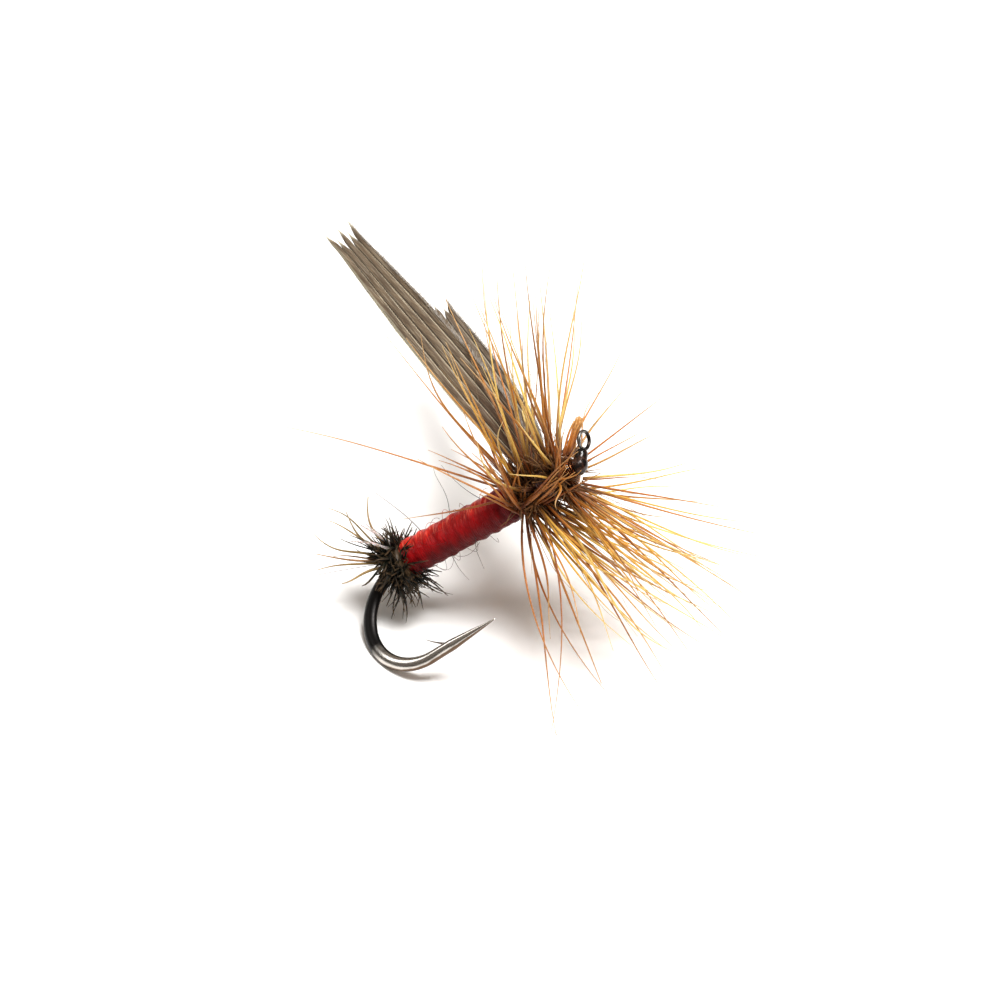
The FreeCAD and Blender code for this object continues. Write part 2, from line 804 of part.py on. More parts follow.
# How far out each barb of a slip ends, from the trailing edge to the leading one.
BARB_ENDS = [1.0, 0.962, 0.985, 0.955, 0.977]
# How much of its room in the slip a barb fills, and how far apart the tips stand.
BARB_FILL = 0.96
TIP_SPREAD = 0.69
# A slip is thicker than its stated thickness at the root and thins towards the tip.
ROOT_THICKENING = 1.2
TIP_THINNING = 0.5
# The slip leads its line fully from this share of the length on.
FULL_LEAD_AT = 0.25


def wing_section(centre, chord, thick, width, thickness):
    half_chord = chord * (width / 2)
    half_thick = thick * (thickness / 2)
    return [
        centre - half_chord - half_thick,
        centre + half_chord - half_thick,
        centre + half_chord + half_thick,
        centre - half_chord + half_thick,
    ]


def wing_barb(number, reach, chord, thick):
    """One flat barb of a slip, from the shank to its own point."""
    root = ALONG * size("wing_station")
    length = size("wing_length")
    place = (number + 0.5) / WING_BARBS - 0.5
    sections = []
    for share, broad in WING_OUTLINE:
        width = size("wing_width") * broad
        shift = size("wing_lead") * min(1.0, share / FULL_LEAD_AT) + place * width
        centre = root + reach * (length * share) + chord * shift
        thickness = size("wing_thickness") * (ROOT_THICKENING - TIP_THINNING * share)
        filled = width / WING_BARBS * BARB_FILL
        sections.append(wing_section(centre, chord, thick, filled, thickness))
    shift = size("wing_lead") + place * size("wing_width") * TIP_SPREAD
    tip = root + reach * (length * BARB_ENDS[number]) + chord * shift
    tip_size = (size("wing_tip_width"), size("wing_tip_thickness"))
    sections.append(wing_section(tip, chord, thick, *tip_size))
    return ruled_solid(sections)


def make_wing(name, side_sign, rake_alias):
    """One quill slip, of barbs that lie edge to edge and end in separate points."""
    rake = math.radians(size(rake_alias))
    split = math.radians(size("wing_split")) * side_sign
    upright = UP * math.cos(rake) - ALONG * math.sin(rake)
    reach = upright * math.cos(split) + ACROSS * math.sin(split)
    chord = (ALONG - reach * ALONG.dot(reach)).normalize()
    solids = [wing_barb(k, reach, chord, reach.cross(chord)) for k in range(WING_BARBS)]
    keep_solids(name, solids)


# ---------------------------------------------------------------- hackle


def make_hackle_stems():
    """The hackle's stem, wound behind the wings and again in front of them."""
    radius = size("stem_radius")
    place = size("stem_coil_radius")
    for name in ("rear", "front"):
        start = size(f"{name}_stem_start")
        pitch = size(f"{name}_stem_pitch")
        turns = size(f"{name}_stem_turns")
        keep_solids(f"hackle_stem_{name}", [coil(start, pitch, turns, place, radius)])


# How the barbs stand round the shank: they crowd on two sides and are few and short between.
# Each stretch is (its last azimuth, the share of barbs that is there, their share of the length,
# how much further they lean to the eye).
STRETCHES = [
    (12, 0.16, 0.85, 0),
    (78, 0.16, 0.60, 0),
    (108, 0.42, 0.85, 6),
    (168, 1.0, 1.0, 9),
    (190, 0.72, 0.98, 5),
    (268, 0.12, 0.80, 0),
    (284, 0.45, 0.76, 3),
    (324, 1.0, 1.0, 0),
    (346, 0.42, 1.0, 0),
    (360, 0.30, 0.95, 0),
]


def stretch(azimuth):
    """What a stretch says of the barbs at an azimuth: how many, how long, and how far they lean."""
    for last, crowding, shortening, turned in STRETCHES:
        if azimuth % 360 <= last:
            return crowding, shortening, turned


# How the barbs of a hackle differ from one another: azimuth and lean in degrees, the rest in shares.
AZIMUTH_SPREAD = 6
LEAN_SPREAD = 6.5
LENGTH_SHARES = (0.74, 1.06)
BOWS = (-0.10, 0.15)
TWISTS = (-0.11, 0.11)


def hackle_barb(start, pitch, share, lean, draw):
    """The barb at a share of the way round a turn, or nothing where it is missing."""
    azimuth = 360.0 * share + draw.uniform(-AZIMUTH_SPREAD, AZIMUTH_SPREAD)
    crowding, shortening, turned = stretch(azimuth)
    wanted = draw.random() < crowding
    own_lean = lean + turned + draw.gauss(0, LEAN_SPREAD)
    length = size("barb_length") * shortening * draw.uniform(*LENGTH_SHARES)
    bow = draw.uniform(*BOWS)
    twist = draw.uniform(*TWISTS)
    if not wanted:
        return None
    place = size("stem_coil_radius")
    line = clear_line(start + pitch * share, place, azimuth, own_lean, length, bow, twist, 4)
    return make_fibre(line, size("barb_root_radius"), size("barb_tip_radius"))


def make_hackle_barbs():
    """The barbs of the hackle, one sub-part to each turn of its stem."""
    draw = random.Random(5)
    count = int(size("barbs_per_turn"))
    for group in ("rear", "front"):
        pitch = size(f"{group}_stem_pitch")
        for turn in range(int(size(f"{group}_stem_turns"))):
            start = size(f"{group}_stem_start") + pitch * turn
            lean = size("hackle_lean") + size(f"{group}_lean_change") + size("lean_step") * turn
            barbs = [hackle_barb(start, pitch, k / count, lean, draw) for k in range(count)]
            keep_solids(f"hackle_barbs_{group}_{turn + 1}", [barb for barb in barbs if barb])


# Barbs that carry the fly, as (station, azimuth, lean): each reaches exactly to the table.
SUPPORT_BARBS = [
    (6.25, 65, -20),
    (8.10, 92, 3),
    (7.15, 106, 0),
    (8.20, 118, 9),
    (8.10, 128, 1),
    (7.20, 139, 1),
    (6.50, 146, -8),
    (6.20, 165, -12),
]
# Long barbs that stand apart, as (station, azimuth, lean, length, bow).
STRAY_BARBS = [
    (6.12, 288, -31, 10.0, -0.03),
    (6.16, 253, -41, 5.2, 0.10),
    (6.14, 296, -20, 3.9, -0.12),
    (6.12, 291, -24, 3.4, -0.06),
    (6.18, 302, -17, 3.1, -0.04),
    (6.30, 312, -12, 8.7, 0.06),
    (6.12, 165, -30, 8.0, 0.50),
    (6.18, 150, -27, 7.7, 0.44),
    (6.90, 178, 10, 10.3, -0.40),
    (8.20, 22, 22, 7.0, 0.05),
    (8.30, 47, 28, 6.6, 0.03),
    (8.30, 54, 27, 5.0, -0.04),
    (8.32, 84, 22, 4.6, 0.03),
    (8.25, 90, 20, 7.9, 0.05),
    (8.05, 1, 20, 8.7, 0.03),
    (7.05, 345, 18, 9.6, -0.04),
    (6.80, 338, 12, 9.5, 0.05),
    (8.20, 99, 24, 9.6, 0.04),
    (8.00, 112, 20, 9.7, -0.05),
]


def make_support_barbs():
    """Straight barbs under the thorax, each as long as it takes to reach the table."""
    place = size("stem_coil_radius")
    solids = []
    for station, azimuth, lean in SUPPORT_BARBS:
        unit = fibre_line(station, place, azimuth, lean, 1.0, 0, 0, 1)[0]
        fall = height_over_table(unit[0]) - height_over_table(unit[1])
        room = height_over_table(unit[0]) - size("support_clearance")
        line = fibre_line(station, place, azimuth, lean, room / fall, 0, 0, 1)
        solids.append(make_fibre(line, size("support_root_radius"), size("support_tip_radius")))
    keep_solids("hackle_support_barbs", solids)


STUB_BOW = 0.05


def make_stub():
    """The trimmed end of the hackle's stem, standing beside the eye."""
    stand = (size("stub_station"), size("stub_place"), size("stub_azimuth"), size("stub_lean"))
    line = fibre_line(*stand, size("stub_length"), STUB_BOW, 0, 3)
    solid = make_fibre(line, size("stub_root_radius"), size("stub_tip_radius"))
    keep_solids("hackle_stub", [solid])


# ---------------------------------------------------------------- build and write


def build():
    make_hook()
    make_hook_eye()
    make_layers()
    make_floss_body()
    make_thorax()
    make_wing_wraps()
    make_head()
    make_neck_wraps()
    make_herl()
    make_loose("tail_fibres", TAIL_FIBRES, "tail")
    make_loose("tag_fluff", FLUFF_FIBRES, "fluff")
    make_loose("stray_hairs", HAIRS, "hair")
    make_wing("wing_slip_left", -1, "left_wing_rake")
    make_wing("wing_slip_right", 1, "right_wing_rake")
    make_hackle_stems()
    make_hackle_barbs()
    make_support_barbs()
    make_loose("hackle_stray_barbs", STRAY_BARBS, "stray")
    make_stub()


def check():
    """Stop if any feature failed, any cut removed nothing, or any sub-part isn't valid."""
    doc.recompute()
    for obj in doc.Objects:
        if "Invalid" in obj.State or "Error" in obj.State:
            raise RuntimeError(f"{obj.Label} failed: {obj.State}")
        if obj.TypeId == "Part::Cut" and obj.Shape.Volume > obj.Base.Shape.Volume - SMALLEST:
            raise RuntimeError(f"{obj.Label} cuts nothing")
    for part in sub_parts:
        if part.Shape.isNull() or not part.Shape.isValid() or part.Shape.Volume <= 0:
            raise RuntimeError(f"{part.Label} has no valid shape")
        if part.Placement != POSE:
            raise RuntimeError(f"{part.Label} isn't laid down with the fly")


def write():
    os.makedirs("parts", exist_ok=True)
    box = FreeCAD.BoundBox()
    for part in sub_parts:
        part.Shape.exportStep(f"parts/{part.Label}.step")
        box.add(part.Shape.BoundBox)
        print(part.Label, len(part.Shape.Solids), "solids", round(part.Shape.Volume, 4), "mm3")
    print(len(sub_parts), "sub-parts; box", box)
    turn = math.radians(size("eye_turn"))
    centre = POSE.multVec(Vector(value_of(EYE_X), 0, value_of(EYE_Z)))
    axis = POSE.Rotation.multVec(Vector(math.sin(turn), 0, -math.cos(turn)))
    print("eye bore centre", [round(v, 4) for v in centre], "axis", [round(v, 6) for v in axis])


build()
check()
write()
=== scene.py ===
import math
import random

import bpy
import numpy as np
from mathutils import Matrix, Vector


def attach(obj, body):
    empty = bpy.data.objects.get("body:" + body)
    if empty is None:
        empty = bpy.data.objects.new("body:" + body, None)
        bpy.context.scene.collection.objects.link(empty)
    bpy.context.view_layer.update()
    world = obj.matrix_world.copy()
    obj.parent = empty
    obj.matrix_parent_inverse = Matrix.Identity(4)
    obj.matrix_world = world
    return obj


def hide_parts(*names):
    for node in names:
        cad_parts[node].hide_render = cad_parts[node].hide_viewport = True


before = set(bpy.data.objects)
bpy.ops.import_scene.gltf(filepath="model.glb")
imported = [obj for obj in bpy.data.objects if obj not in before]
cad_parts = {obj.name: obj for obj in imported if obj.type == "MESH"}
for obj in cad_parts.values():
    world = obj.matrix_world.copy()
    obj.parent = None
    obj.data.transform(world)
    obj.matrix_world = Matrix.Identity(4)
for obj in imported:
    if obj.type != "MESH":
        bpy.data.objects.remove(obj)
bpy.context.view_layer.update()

# A dry fly on a white table. Pieces are built in the fly's own frame, in mm, and laid down by FLY:
# +X along the shank to the eye, +Z to the side the wings stand on, gape at -Z.
MM = 0.001
STAND = (-5.578, -1.84, 2.40)
SHANK_RISE = math.radians(36.4)
SHANK_ROLL = math.radians(67.9)
FLY = Matrix.Rotation(-SHANK_RISE, 3, "Y") @ Matrix.Rotation(-SHANK_ROLL, 3, "X")
TURN = np.array(FLY)
SHIFT = np.array(STAND)
BODY = "root"

# The hook's line, and the stations of what is tied to it, as in the CAD part.
BEND_START = 0.40
BEND_RADIUS = 2.46
SPEAR_TURN = math.radians(3.5)
SPEAR_CONE_START = 1.0
POINT_TIP = 3.23
WIRE_RADIUS = 0.25
TAPER_START = 7.80
SHANK_END = 9.05
EYE_WIRE_RADIUS = 0.08
EYE_TURN = math.radians(65.6)
EYE_TURN_RADIUS = 0.25
EYE_NECK = 0.60
EYE_RING_RADIUS = 0.37
NECK_WRAPS = (0.16, 0.56)
BODY_START = 0.42
BODY_END = 5.95
THORAX_END = 8.50
WING_STATION = 7.50
LEFT_WING_RAKE = math.radians(20.3)
RIGHT_WING_RAKE = math.radians(22.8)
WING_SPLIT = math.radians(15.2)
WING_LENGTH = 15.3
WING_WIDTH = 2.0
WING_LEAD = 0.18

ALONG = np.array((1.0, 0.0, 0.0))
ACROSS = np.array((0.0, 1.0, 0.0))
UP = np.array((0.0, 0.0, 1.0))


def to_row(points):
    """Fly frame in mm to row frame in metres."""
    return (points @ TURN.T + SHIFT) * MM


def to_fly(points):
    """Row frame in metres to fly frame in mm."""
    return (points / MM - SHIFT) @ TURN


def unit(vectors):
    return vectors / np.maximum(np.linalg.norm(vectors, axis=-1, keepdims=True), 1e-12)


def radial(azimuth):
    """Directions out of the shank at azimuths in degrees, from the wing side towards +Y."""
    angle = np.radians(azimuth)
    return np.stack([np.zeros_like(angle), np.sin(angle), np.cos(angle)], axis=-1)


def smooth(low, high, values):
    """0 below low, 1 above high and a smooth rise between."""
    share = np.clip((values - low) / (high - low), 0, 1)
    return share * share * (3 - 2 * share)


def wander(values, draw, count, lowest, highest):
    """A smooth random function of one variable, about -1 to 1: a sum of count sine waves."""
    total = np.zeros_like(values)
    for _ in range(count):
        total = total + np.sin(values * draw.uniform(lowest, highest) + draw.uniform(0, 6.28))
    return total / math.sqrt(count)


# ---------------------------------------------------------------- meshes


class Mass:
    """What is gathered for one piece: points in the fly's frame, faces, and two values to a point."""

    def __init__(self):
        self.points = []
        self.faces = []
        self.along = []
        self.tone = []
        self.count = 0

    def add(self, points, faces, along, tone):
        """Points (n, 3), faces as a list of (m, corners) arrays, and the values of the points."""
        self.points.append(points)
        self.faces += [f + self.count for f in faces]
        self.along.append(np.broadcast_to(along, (len(points),)))
        self.tone.append(np.broadcast_to(tone, (len(points),)))
        self.count += len(points)

    def piece(self, name, look, slot, *nodes):
        """Make the mesh object, laid down with the fly, in place of the CAD nodes it stands for."""
        mesh = bpy.data.meshes.new(name)
        points = np.concatenate(self.points)
        loops = np.concatenate([f.ravel() for f in self.faces]).astype(np.int32)
        sizes = np.concatenate([np.full(len(f), f.shape[1], np.int32) for f in self.faces])
        starts = np.concatenate([[0], np.cumsum(sizes)[:-1]]).astype(np.int32)
        mesh.vertices.add(len(points))
        mesh.vertices.foreach_set("co", to_row(points).astype(np.float32).ravel())
        mesh.loops.add(len(loops))
        mesh.loops.foreach_set("vertex_index", loops)
        mesh.polygons.add(len(sizes))
        mesh.polygons.foreach_set("loop_start", starts)
        mesh.polygons.foreach_set("loop_total", sizes)
        mesh.update(calc_edges=True)
        mesh.polygons.foreach_set("use_smooth", np.ones(len(sizes), bool))
        for key, values in (("along", self.along), ("tone", self.tone)):
            layer = mesh.attributes.new(key, "FLOAT", "POINT")
            layer.data.foreach_set("value", np.concatenate(values).astype(np.float32))
        layer = mesh.attributes.new("fly", "FLOAT_VECTOR", "POINT")
        layer.data.foreach_set("vector", points.astype(np.float32).ravel())
        mesh.materials.append(look)
        made = bpy.data.objects.new(name, mesh)
        bpy.context.scene.collection.objects.link(made)
        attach(made, BODY)
        if nodes:
            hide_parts(*nodes)
        return made


def grid_faces(rows, columns, closed):
    """Quads over a grid of points; closed joins the last column to the first."""
    last = columns if closed else columns - 1
    row, column = np.meshgrid(np.arange(rows - 1), np.arange(last), indexing="ij")
    other = (column + 1) % columns
    here = row * columns
    quads = np.stack([here + column, here + other, here + columns + other, here + columns + column], -1)
    return quads.reshape(-1, 4)


def tubes(mass, lines, radii, tones, sides=6, flat=1.0, reference=None):
    """Closed tubes round lines (strands, rings, 3); radii are (rings,) or (strands, rings)."""
    strands, rings, _ = lines.shape
    radii = np.broadcast_to(radii, (strands, rings))
    tangent = unit(np.gradient(lines, axis=1))
    if reference is None:
        reference = np.cross(tangent[:, 0], ALONG + 0.01)
    reference = unit(np.broadcast_to(reference, (strands, 3)))[:, None, :]
    normal = unit(reference - tangent * np.sum(reference * tangent, -1, keepdims=True))
    side = np.cross(tangent, normal)
    angles = np.arange(sides) * 2 * math.pi / sides
    flat = np.broadcast_to(flat, (rings,))[None, :, None, None]
    out = normal[:, :, None] * np.cos(angles)[:, None] + side[:, :, None] * np.sin(angles)[:, None] * flat
    points = lines[:, :, None] + radii[:, :, None, None] * out
    quads = grid_faces(rings, sides, True)
    offsets = (np.arange(strands) * rings * sides)[:, None, None]
    cap = np.arange(sides)[None, :]
    far = cap + (rings - 1) * sides
    faces = [
        (quads + offsets).reshape(-1, 4),
        (cap[:, ::-1] + offsets).reshape(-1, sides),
        (far + offsets).reshape(-1, sides),
    ]
    along = np.broadcast_to(np.linspace(0, 1, rings)[None, :, None], (strands, rings, sides))
    tone = np.broadcast_to(np.asarray(tones, float).reshape(-1, 1, 1), (strands, rings, sides))
    mass.add(points.reshape(-1, 3), faces, along.reshape(-1), tone.reshape(-1))


def lathe(mass, stations, radius, turns=180, turn=None, start=None):
    """A closed solid round the shank: radius(x, angle) gives its radius and tone over a grid.

    turn and start lay it along another line than the shank.
    """
    angles = np.arange(turns) * 2 * math.pi / turns
    x, angle = np.meshgrid(stations, angles, indexing="ij")
    r, tone = radius(x, angle)
    points = np.stack([x, r * np.sin(angle), r * np.cos(angle)], -1).reshape(-1, 3)
    if turn is not None:
        points = points @ turn.T + start
    quads = grid_faces(len(stations), turns, True)
    first = np.arange(turns)[None, :]
    last = first + (len(stations) - 1) * turns
    share = (x - stations[0]) / (stations[-1] - stations[0])
    mass.add(points, [quads, first[:, ::-1], last], share.reshape(-1), tone.reshape(-1))


def fibre_curves(node):
    """The fibres of a CAD node, as the three factors of a parabola for each."""
    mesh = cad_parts[node].data
    flat = np.empty(len(mesh.vertices) * 3, np.float32)
    mesh.vertices.foreach_get("co", flat)
    welded, index = np.unique(np.round(to_fly(flat.reshape(-1, 3).astype(float)), 3), axis=0, return_inverse=True)
    index = index.reshape(-1)
    group = np.arange(len(welded))
    edges = np.array([index[list(edge.vertices)] for edge in mesh.edges])
    for _ in range(len(welded)):
        lowest = np.minimum(group[edges[:, 0]], group[edges[:, 1]])
        before = group.copy()
        np.minimum.at(group, edges[:, 0], lowest)
        np.minimum.at(group, edges[:, 1], lowest)
        if np.array_equal(before, group):
            break
    curves = []
    for name in np.unique(group):
        points = welded[group == name]
        off_shank = np.hypot(points[:, 1], points[:, 2])
        root = points[off_shank.argmin()]
        tip = points[np.linalg.norm(points - root, axis=1).argmax()]
        order = np.argsort((points - root) @ (tip - root))
        rings = points[order].reshape(-1, 3, 3)
        middle = rings.mean(axis=1)
        share = np.linspace(0, 1, len(middle))
        degree = min(2, len(middle) - 1)
        factors = np.polyfit(share, middle, degree)
        if degree == 1:
            factors = np.vstack([np.zeros(3), factors])
        curves.append(factors)
    return np.array(curves)


def strands_of(curves, rings):
    """Points along each parabola: (strands, rings, 3)."""
    share = np.linspace(0, 1, rings)[None, :, None]
    return curves[:, None, 0] * share**2 + curves[:, None, 1] * share + curves[:, None, 2]


def sway(lines, draw, amount, waves=1.6):
    """Bend strands gently to either side, more and more towards their tips."""
    strands, rings, _ = lines.shape
    share = np.linspace(0, 1, rings)
    tangent = unit(lines[:, -1] - lines[:, 0])
    aside = unit(np.cross(tangent, UP + 0.1))
    upward = np.cross(tangent, aside)
    moved = lines.copy()
    for k in range(strands):
        for direction in (aside[k], upward[k]):
            size = draw.gauss(0, amount)
            phase = draw.uniform(0, 6.28)
            bend = np.sin(share * draw.uniform(0.6, 1.0) * waves * math.pi + phase) - math.sin(phase)
            moved[k] += direction * (bend * size * share)[:, None]
    return keep_over_table(moved)


def keep_over_table(lines, clearance=0.05):
    """Lift any point that would be below the table."""
    height = lines @ TURN[2] + SHIFT[2]
    return lines + np.maximum(clearance - height, 0)[:, :, None] * TURN[2]


def clump(lines, draw, reach=1.3):
    """Draw the outer parts of neighbouring strands together in twos and threes."""
    tips = lines[:, -1]
    share = smooth(0.15, 1.0, np.linspace(0, 1, lines.shape[1]))[:, None]
    moved = lines.copy()
    for k in range(len(lines)):
        apart = np.linalg.norm(tips - tips[k], axis=1)
        apart[k] = reach
        other = int(apart.argmin())
        pull = draw.uniform(0.2, 0.85)
        if apart[other] < reach and other < k:
            moved[k] += (moved[other] - lines[k]) * (share * pull)
    return moved


def spread_tones(draw, count):
    return np.array([draw.random() for _ in range(count)])


# ---------------------------------------------------------------- materials


def colour(red, green, blue):
    """A screen colour, 0 to 255, as the linear values that the shader takes."""
    linear = []
    for value in (red, green, blue):
        share = value / 255
        linear.append(share / 12.92 if share <= 0.04045 else ((share + 0.055) / 1.055) ** 2.4)
    return (*linear, 1.0)


class Look:
    """A material round one Principled shader."""

    def __init__(self, name, **plain):
        self.material = bpy.data.materials.new(name)
        self.material.use_nodes = True
        self.tree = self.material.node_tree
        self.shader = self.tree.nodes["Principled BSDF"]
        for socket, value in plain.items():
            self.shader.inputs[socket.replace("_", " ")].default_value = value

    def node(self, kind, inputs=(), **settings):
        made = self.tree.nodes.new("ShaderNode" + kind)
        for key, value in settings.items():
            setattr(made, key, value)
        for socket, value in dict(inputs).items():
            self.feed(made.inputs[socket], value)
        return made

    def feed(self, socket, value):
        if isinstance(value, bpy.types.NodeSocket):
            self.tree.links.new(value, socket)
        else:
            socket.default_value = value

    def value(self, key):
        """A value stored on the mesh's points."""
        return self.node("Attribute", attribute_name=key).outputs["Fac"]

    def place(self, scale=(1, 1, 1)):
        """The place in the fly's frame, in mm, stretched."""
        fly = self.node("Attribute", attribute_name="fly").outputs["Vector"]
        return self.node("Mapping", {"Vector": fly, "Scale": scale}).outputs["Vector"]

    def noise(self, vector, scale, detail=3.0, distortion=0.0):
        inputs = {"Vector": vector, "Scale": scale, "Detail": detail, "Distortion": distortion}
        return self.node("TexNoise", inputs).outputs["Fac"]

    def sum(self, operation, first, second):
        return self.node("Math", {0: first, 1: second}, operation=operation).outputs[0]

    def ramp(self, factor, *stops):
        """Colours at places between 0 and 1."""
        made = self.node("ValToRGB", {"Fac": factor})
        ramp = made.color_ramp
        while len(ramp.elements) < len(stops):
            ramp.elements.new(1.0)
        for element, (place, shade) in zip(ramp.elements, stops):
            element.position = place
            element.color = shade
        return made.outputs["Color"]

    def mix(self, factor, first, second, blend="MIX"):
        made = self.node("Mix", {0: factor, 6: first, 7: second}, data_type="RGBA", blend_type=blend)
        return made.outputs[2]

    def rise(self, factor, low, high, start=0.0, end=1.0):
        inputs = {"Value": factor, "From Min": low, "From Max": high, "To Min": start, "To Max": end}
        return self.node("MapRange", inputs, interpolation_type="SMOOTHSTEP").outputs["Result"]

    def bump(self, height, distance, strength=1.0):
        """Bump of a height of 0 to 1 over a distance in mm."""
        inputs = {"Height": height, "Distance": distance * MM, "Strength": strength}
        self.feed(self.shader.inputs["Normal"], self.node("Bump", inputs).outputs["Normal"])

    def paint(self, base=None, roughness=None):
        if base is not None:
            self.feed(self.shader.inputs["Base Color"], base)
        if roughness is not None:
            self.feed(self.shader.inputs["Roughness"], roughness)
        return self.material


GREY = (0.5, 0.5, 0.5, 1.0)
BLACK = (0.0, 0.0, 0.0, 1.0)
WHITE = (1.0, 1.0, 1.0, 1.0)


def hook_look():
    """Black-finished wire; the flat sides of the lower bend and the spear are bright steel, with a painted dark
    reflection along the wire's edges there.
    """
    look = Look("hook_finish_and_painted_edges", Metallic=1.0, Specular_IOR_Level=0.5)
    # This noise moves both the worn edge of the black finish and the edge of the painted reflection.
    wear_and_painted_edge_noise = look.noise(look.place((1, 1, 1)), 2.6, 4.0)
    fine = look.noise(look.place((3, 3, 3)), 9.0, 5.0)
    drift = look.sum("MULTIPLY", look.sum("SUBTRACT", wear_and_painted_edge_noise, 0.5), 0.28)
    reach = look.sum("ADD", look.value("tone"), drift)
    bare = look.rise(reach, 0.34, 0.62)
    face = look.rise(look.sum("ADD", look.value("along"), drift), 0.42, 0.66)
    black = look.mix(fine, colour(15, 15, 16), colour(46, 44, 43))
    steel = look.mix(fine, colour(186, 180, 172), colour(222, 217, 210))
    # Painted reflection: dark brown along the bare wire's edges, where it faces least squarely across the hook's plane.
    painted_edge_reflection = look.mix(fine, colour(52, 38, 29), colour(112, 92, 76))
    steel = look.mix(face, painted_edge_reflection, steel)
    rough = look.mix(bare, (0.34, 0.34, 0.34, 1), (0.17, 0.17, 0.17, 1))
    grain = look.noise(look.place((2, 2, 2)), 26.0, 4.0)
    look.bump(grain, 0.003, 0.4)
    return look.paint(look.mix(bare, black, steel), look.sum("ADD", rough, look.sum("MULTIPLY", grain, 0.10)))


def floss_look():
    """Silk floss: fine filaments round the body, with painted shade in the hollows between turns, on the side towards
    the table and at the front end, and a painted highlight along the upper side.
    """
    look = Look("floss_silk", Specular_IOR_Level=0.12)
    filaments = look.noise(look.place((34, 3.0, 3.0)), 1.0, 4.0, 0.8)
    strands = look.noise(look.place((12, 1.6, 1.6)), 1.0, 3.0, 1.0)
    broad = look.noise(look.place((1.5, 1.1, 1.1)), 1.0, 3.0)
    # Painted shade: darker red in the hollows between the turns, by the 'tone' value, which is high on the ridges of
    # the turns.
    red = look.ramp(
        look.value("tone"),
        (0.0, colour(44, 1, 3)),
        (0.5, colour(136, 3, 8)),
        (1.0, colour(180, 10, 14)),
    )
    # Painted highlight: a salmon band along the upper side of the body, on the ridges of the turns.
    _, east, north = look.node("SeparateXYZ", {0: look.place()}).outputs
    crest = look.sum("SUBTRACT", look.sum("MULTIPLY", north, 0.94), look.sum("MULTIPLY", east, 0.34))
    lit = look.rise(crest, -0.05, 0.62)
    bright = look.sum("MULTIPLY", lit, look.rise(broad, 0.38, 0.62, 0.25, 0.95))
    bright = look.sum("MULTIPLY", bright, look.rise(look.value("tone"), 0.48, 0.78, 0.55, 1.0))
    red = look.mix(bright, red, colour(240, 56, 40))
    red = look.mix(look.rise(broad, 0.30, 0.46, 0.65, 0.0), red, colour(92, 2, 5))
    red = look.mix(look.rise(strands, 0.36, 0.50, 0.5, 0.0), red, colour(100, 2, 5))
    # Painted highlight: brighter streaks within the band on the upper side.
    red = look.mix(look.sum("MULTIPLY", lit, look.rise(strands, 0.54, 0.68, 0.0, 0.7)), red, colour(252, 140, 112))
    red = look.mix(look.rise(filaments, 0.40, 0.56, 0.35, 0.0), red, colour(84, 2, 5))
    # Painted shade on the side of the body that faces the table.
    side = look.sum("SUBTRACT", look.sum("MULTIPLY", east, 0.5), look.sum("MULTIPLY", north, 0.87))
    red = look.mix(look.rise(side, -0.15, 0.70, 0.0, 0.8), red, colour(66, 2, 4))
    # Painted shade at the front end of the body, where the hackle overhangs it.
    dark = look.rise(look.value("along"), 0.74, 1.0, 0.0, 0.75)
    red = look.mix(dark, red, colour(70, 4, 6))
    look.bump(look.sum("ADD", filaments, strands), 0.030, 1.0)
    rough = look.rise(filaments, 0.3, 0.7, 0.46, 0.28)
    return look.paint(red, rough)


def dark_turn_look():
    """The first turn: red under a brown-black stain."""
    look = Look("floss_stained", Sheen_Weight=0.1, Specular_IOR_Level=0.5)
    filaments = look.noise(look.place((24, 1.0, 1.0)), 1.0, 4.0, 0.4)
    stain = look.noise(look.place((1.5, 1.5, 1.5)), 1.3, 3.0)
    base = look.mix(look.rise(stain, 0.40, 0.58), colour(120, 22, 18), colour(38, 20, 16))
    base = look.mix(look.rise(filaments, 0.4, 0.62, 0.4, 0.0), base, colour(24, 10, 10))
    look.bump(filaments, 0.016, 0.9)
    return look.paint(base, look.rise(filaments, 0.3, 0.7, 0.55, 0.36))


def thread_look(name, dark, light, gloss, coat=0.0):
    """Waxed thread wound in close turns, with painted shade in the grooves between them."""
    look = Look(name, Specular_IOR_Level=0.5, Coat_Weight=coat, Coat_Roughness=0.06)
    twist = look.noise(look.place((30, 5, 5)), 1.0, 3.0)
    patch = look.noise(look.place((1.4, 1.4, 1.4)), 1.6, 2.0)
    # Painted shade: the dark colour in the grooves between turns and the light one on the ridges, by the height over
    # the turns that the mesh carries as 'tone'.
    base = look.mix(look.value("tone"), dark, light)
    base = look.mix(look.rise(patch, 0.35, 0.65, 0.0, 0.4), base, dark)
    look.bump(twist, 0.010, 0.8)
    return look.paint(base, look.rise(twist, 0.3, 0.7, gloss + 0.14, gloss))


def varnish_look():
    """A thin clear, amber coat."""
    look = Look(
        "head_varnish_clear",
        Roughness=0.05,
        IOR=1.12,
        Transmission_Weight=1.0,
        Base_Color=colour(176, 122, 78),
    )
    look.bump(look.noise(look.place((1, 1, 1)), 2.6, 2.0), 0.01, 0.4)
    return look.material


def bead_look():
    """Thread under a thick drop of varnish: nearly black, and glossy."""
    look = Look("neck_bead", Specular_IOR_Level=0.35)
    patch = look.noise(look.place((1.6, 1.6, 1.6)), 2.4, 3.0)
    base = look.mix(look.rise(patch, 0.42, 0.62), colour(12, 8, 7), colour(52, 30, 19))
    look.bump(patch, 0.06, 0.7)
    return look.paint(base, look.rise(patch, 0.3, 0.7, 0.09, 0.30))


